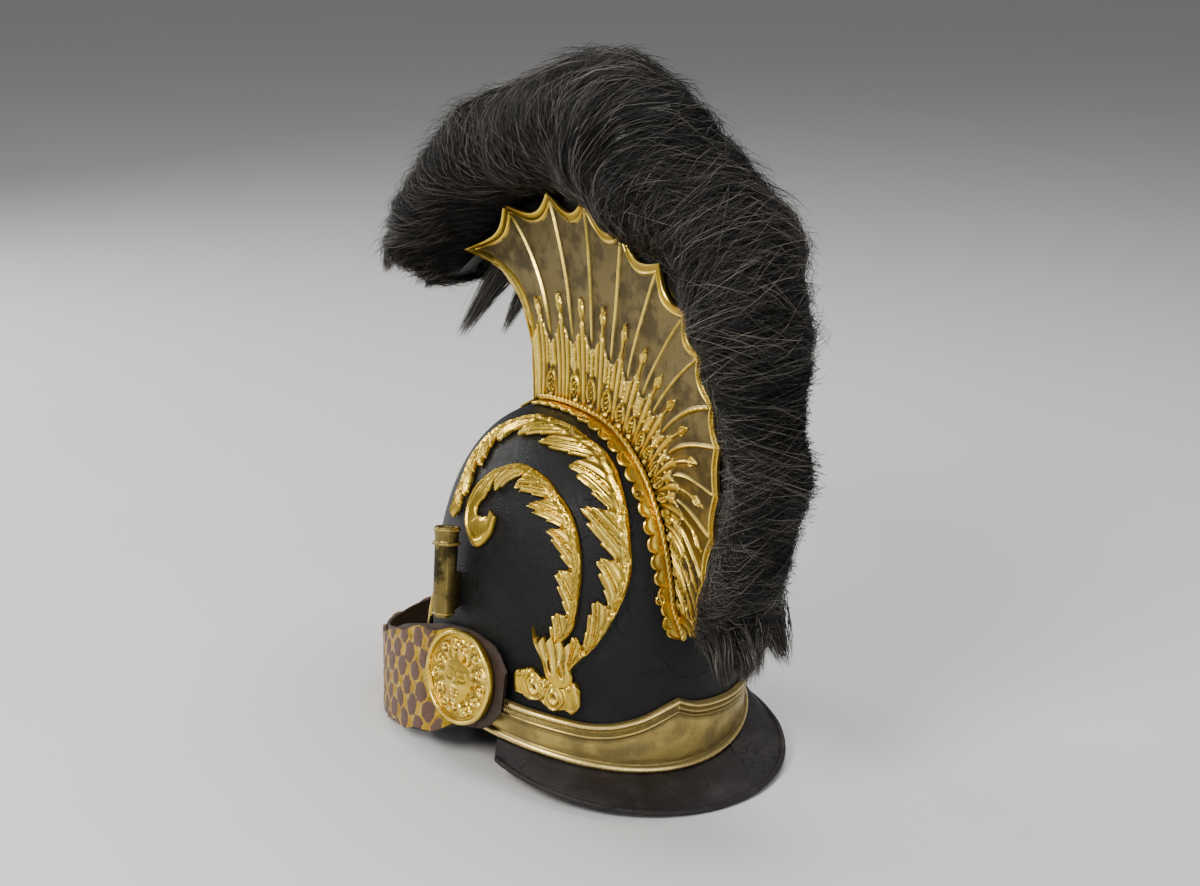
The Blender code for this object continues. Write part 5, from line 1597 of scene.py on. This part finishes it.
def buildRootHair():  # hair that rises from between the comb's sides and spreads over the fur's flank
    chance = np.random.default_rng(fur["seed"] + 2)
    count, steps = fur["rootHairs"], fur["segments"]
    run = chance.uniform(0.0, 0.5, count)
    side = np.where(chance.random(count) < 0.5, 1, -1)
    start = furPoint(run, side * chance.uniform(0.88, 0.93, count))
    gate = furPoint(run, side * 0.835)
    landing = run + chance.normal(0, 0.022, count) + furSweep(run, side * 0.7)
    end = furPoint(np.clip(landing, 0.002, 0.998), side * chance.uniform(0.46, 0.79, count), 0.99)
    gate = gate + (end - gate) * chance.uniform(0.1, 0.45, (count, 1)) + chance.normal(0, 1.2, (count, 3))
    share = np.linspace(0, 1, steps)
    paths = np.stack([start * (1 - t) ** 2 + gate * 2 * t * (1 - t) + end * t ** 2 for t in share], axis=1)
    thick = fur["thick"] * chance.uniform(0.55, 1.0, count)
    # About one root hair in eight gets the light colour as a painted highlight.
    paintedHighlight = np.where(chance.random(count) < 0.12, chance.uniform(0.2, 0.7, count), 0.02)
    piece = hairMesh("fur_root_hair", paths, thick, paintedHighlight)
    dress(piece, furHair, "black_fur")


def buildTufts():
    chance = np.random.default_rng(fur["seed"] + 1)
    steps, paths = fur["segments"], []
    for start, end, radius, count in tufts:
        start, end = np.array(start, float), np.array(end, float)
        spread = np.clip(chance.normal(0, 0.5, (count, 3)), -1.1, 1.1) * radius
        length = chance.uniform(0.55, 1.08, (count, 1))
        drift = chance.normal(0, 0.16, (count, 3)) * radius
        bend = chance.normal(0, 0.9, (count, 3)) + (0, 0, 5.0)
        share = np.linspace(0, 1, steps)
        path = [start + spread * (1 - 0.72 * step) + (end - start) * step * length + drift * step
                + bend * math.sin(step * math.pi) for step in share]
        paths.append(np.stack(path, axis=1))
    paths = np.concatenate(paths)
    thick = fur["thick"] * chance.uniform(0.6, 1.1, len(paths))
    # Each tuft hair gets a random share of the light colour as a painted highlight.
    piece = hairMesh("fur_tufts", paths, thick, chance.random(len(paths)) ** 3)
    dress(piece, furHair, "black_fur")


buildFurBody()
buildHair()
buildRootHair()
buildTufts()
print("fur made")


# Floor, light and camera

def makeFloor():
    pick(None)
    bpy.ops.mesh.primitive_plane_add(size=40, location=(0, 0, 0))
    floor = bpy.context.object
    floor.name = "floor"
    material, tree, shader, where = newMaterial("paleFloor", 0.75, 0.0)
    colour = mixColours(tree, noiseNode(tree, where, 3.0), (0.62, 0.61, 0.60), (0.66, 0.65, 0.64))
    feed(tree, shader.inputs["Base Color"], colour)
    floor.data.materials.append(material)


lights = (  # name, place, size, power, colour
    ("key", (1.6, 0.55, 1.5), 0.9, 46, (1.0, 0.97, 0.92)),
    ("fill", (0.2, 1.9, 0.8), 1.4, 20, (0.92, 0.96, 1.0)),
    ("top", (-0.4, -0.2, 1.9), 1.2, 26, (1, 1, 1)),
    ("front", (0.6, -1.7, 0.9), 1.0, 24, (1, 1, 1)))
world = {"colour": (0.80, 0.82, 0.85), "strength": 0.27}


def addLight(name, place, size, power, colour):
    light = bpy.data.lights.new(name, "AREA")
    light.shape = "DISK"
    light.size = size
    light.energy = power
    light.color = colour
    item = bpy.data.objects.new(name, light)
    bpy.context.scene.collection.objects.link(item)
    place, target = Vector(place), Vector((0, 0, 0.2))
    item.location = place
    item.rotation_euler = (target - place).to_track_quat("-Z", "Y").to_euler()


camera = {
    "azimuth": 145.0, "elevation": 17.08, "roll": 0.55, "distance": 1.3, "target": (0, 0.00576, 0.184),
    "pixelsPerMm": 1.54, "width": 1200, "height": 886, "middle": (592.8, 463.85),
}


def makeCamera():
    target = Vector(camera["target"])
    place = target + Vector(direction(camera["azimuth"], camera["elevation"])) * camera["distance"]
    data = bpy.data.cameras.new("camera")
    item = bpy.data.objects.new("camera", data)
    bpy.context.scene.collection.objects.link(item)
    roll = Matrix.Rotation(math.radians(camera["roll"]), 3, "Z")
    turn = (target - place).to_track_quat("-Z", "Y").to_matrix() @ roll
    item.matrix_world = Matrix.Translation(place) @ turn.to_4x4()
    data.sensor_width = 36
    data.lens = camera["pixelsPerMm"] * camera["distance"] * 1000 / camera["width"] * data.sensor_width
    data.shift_x = (camera["width"] / 2 - camera["middle"][0]) / camera["width"]
    data.shift_y = (camera["middle"][1] - camera["height"] / 2) / camera["width"]
    bpy.context.scene.camera = item


def makeLights():
    studio = bpy.data.worlds.new("studio")
    studio.use_nodes = True
    background = studio.node_tree.nodes["Background"]
    feedAll(studio.node_tree, background, {"Color": world["colour"], "Strength": world["strength"]})
    bpy.context.scene.world = studio
    for row in lights:
        addLight(*row)


makeFloor()
makeLights()
makeCamera()
bpy.context.view_layer.update()
print("ready to finish")
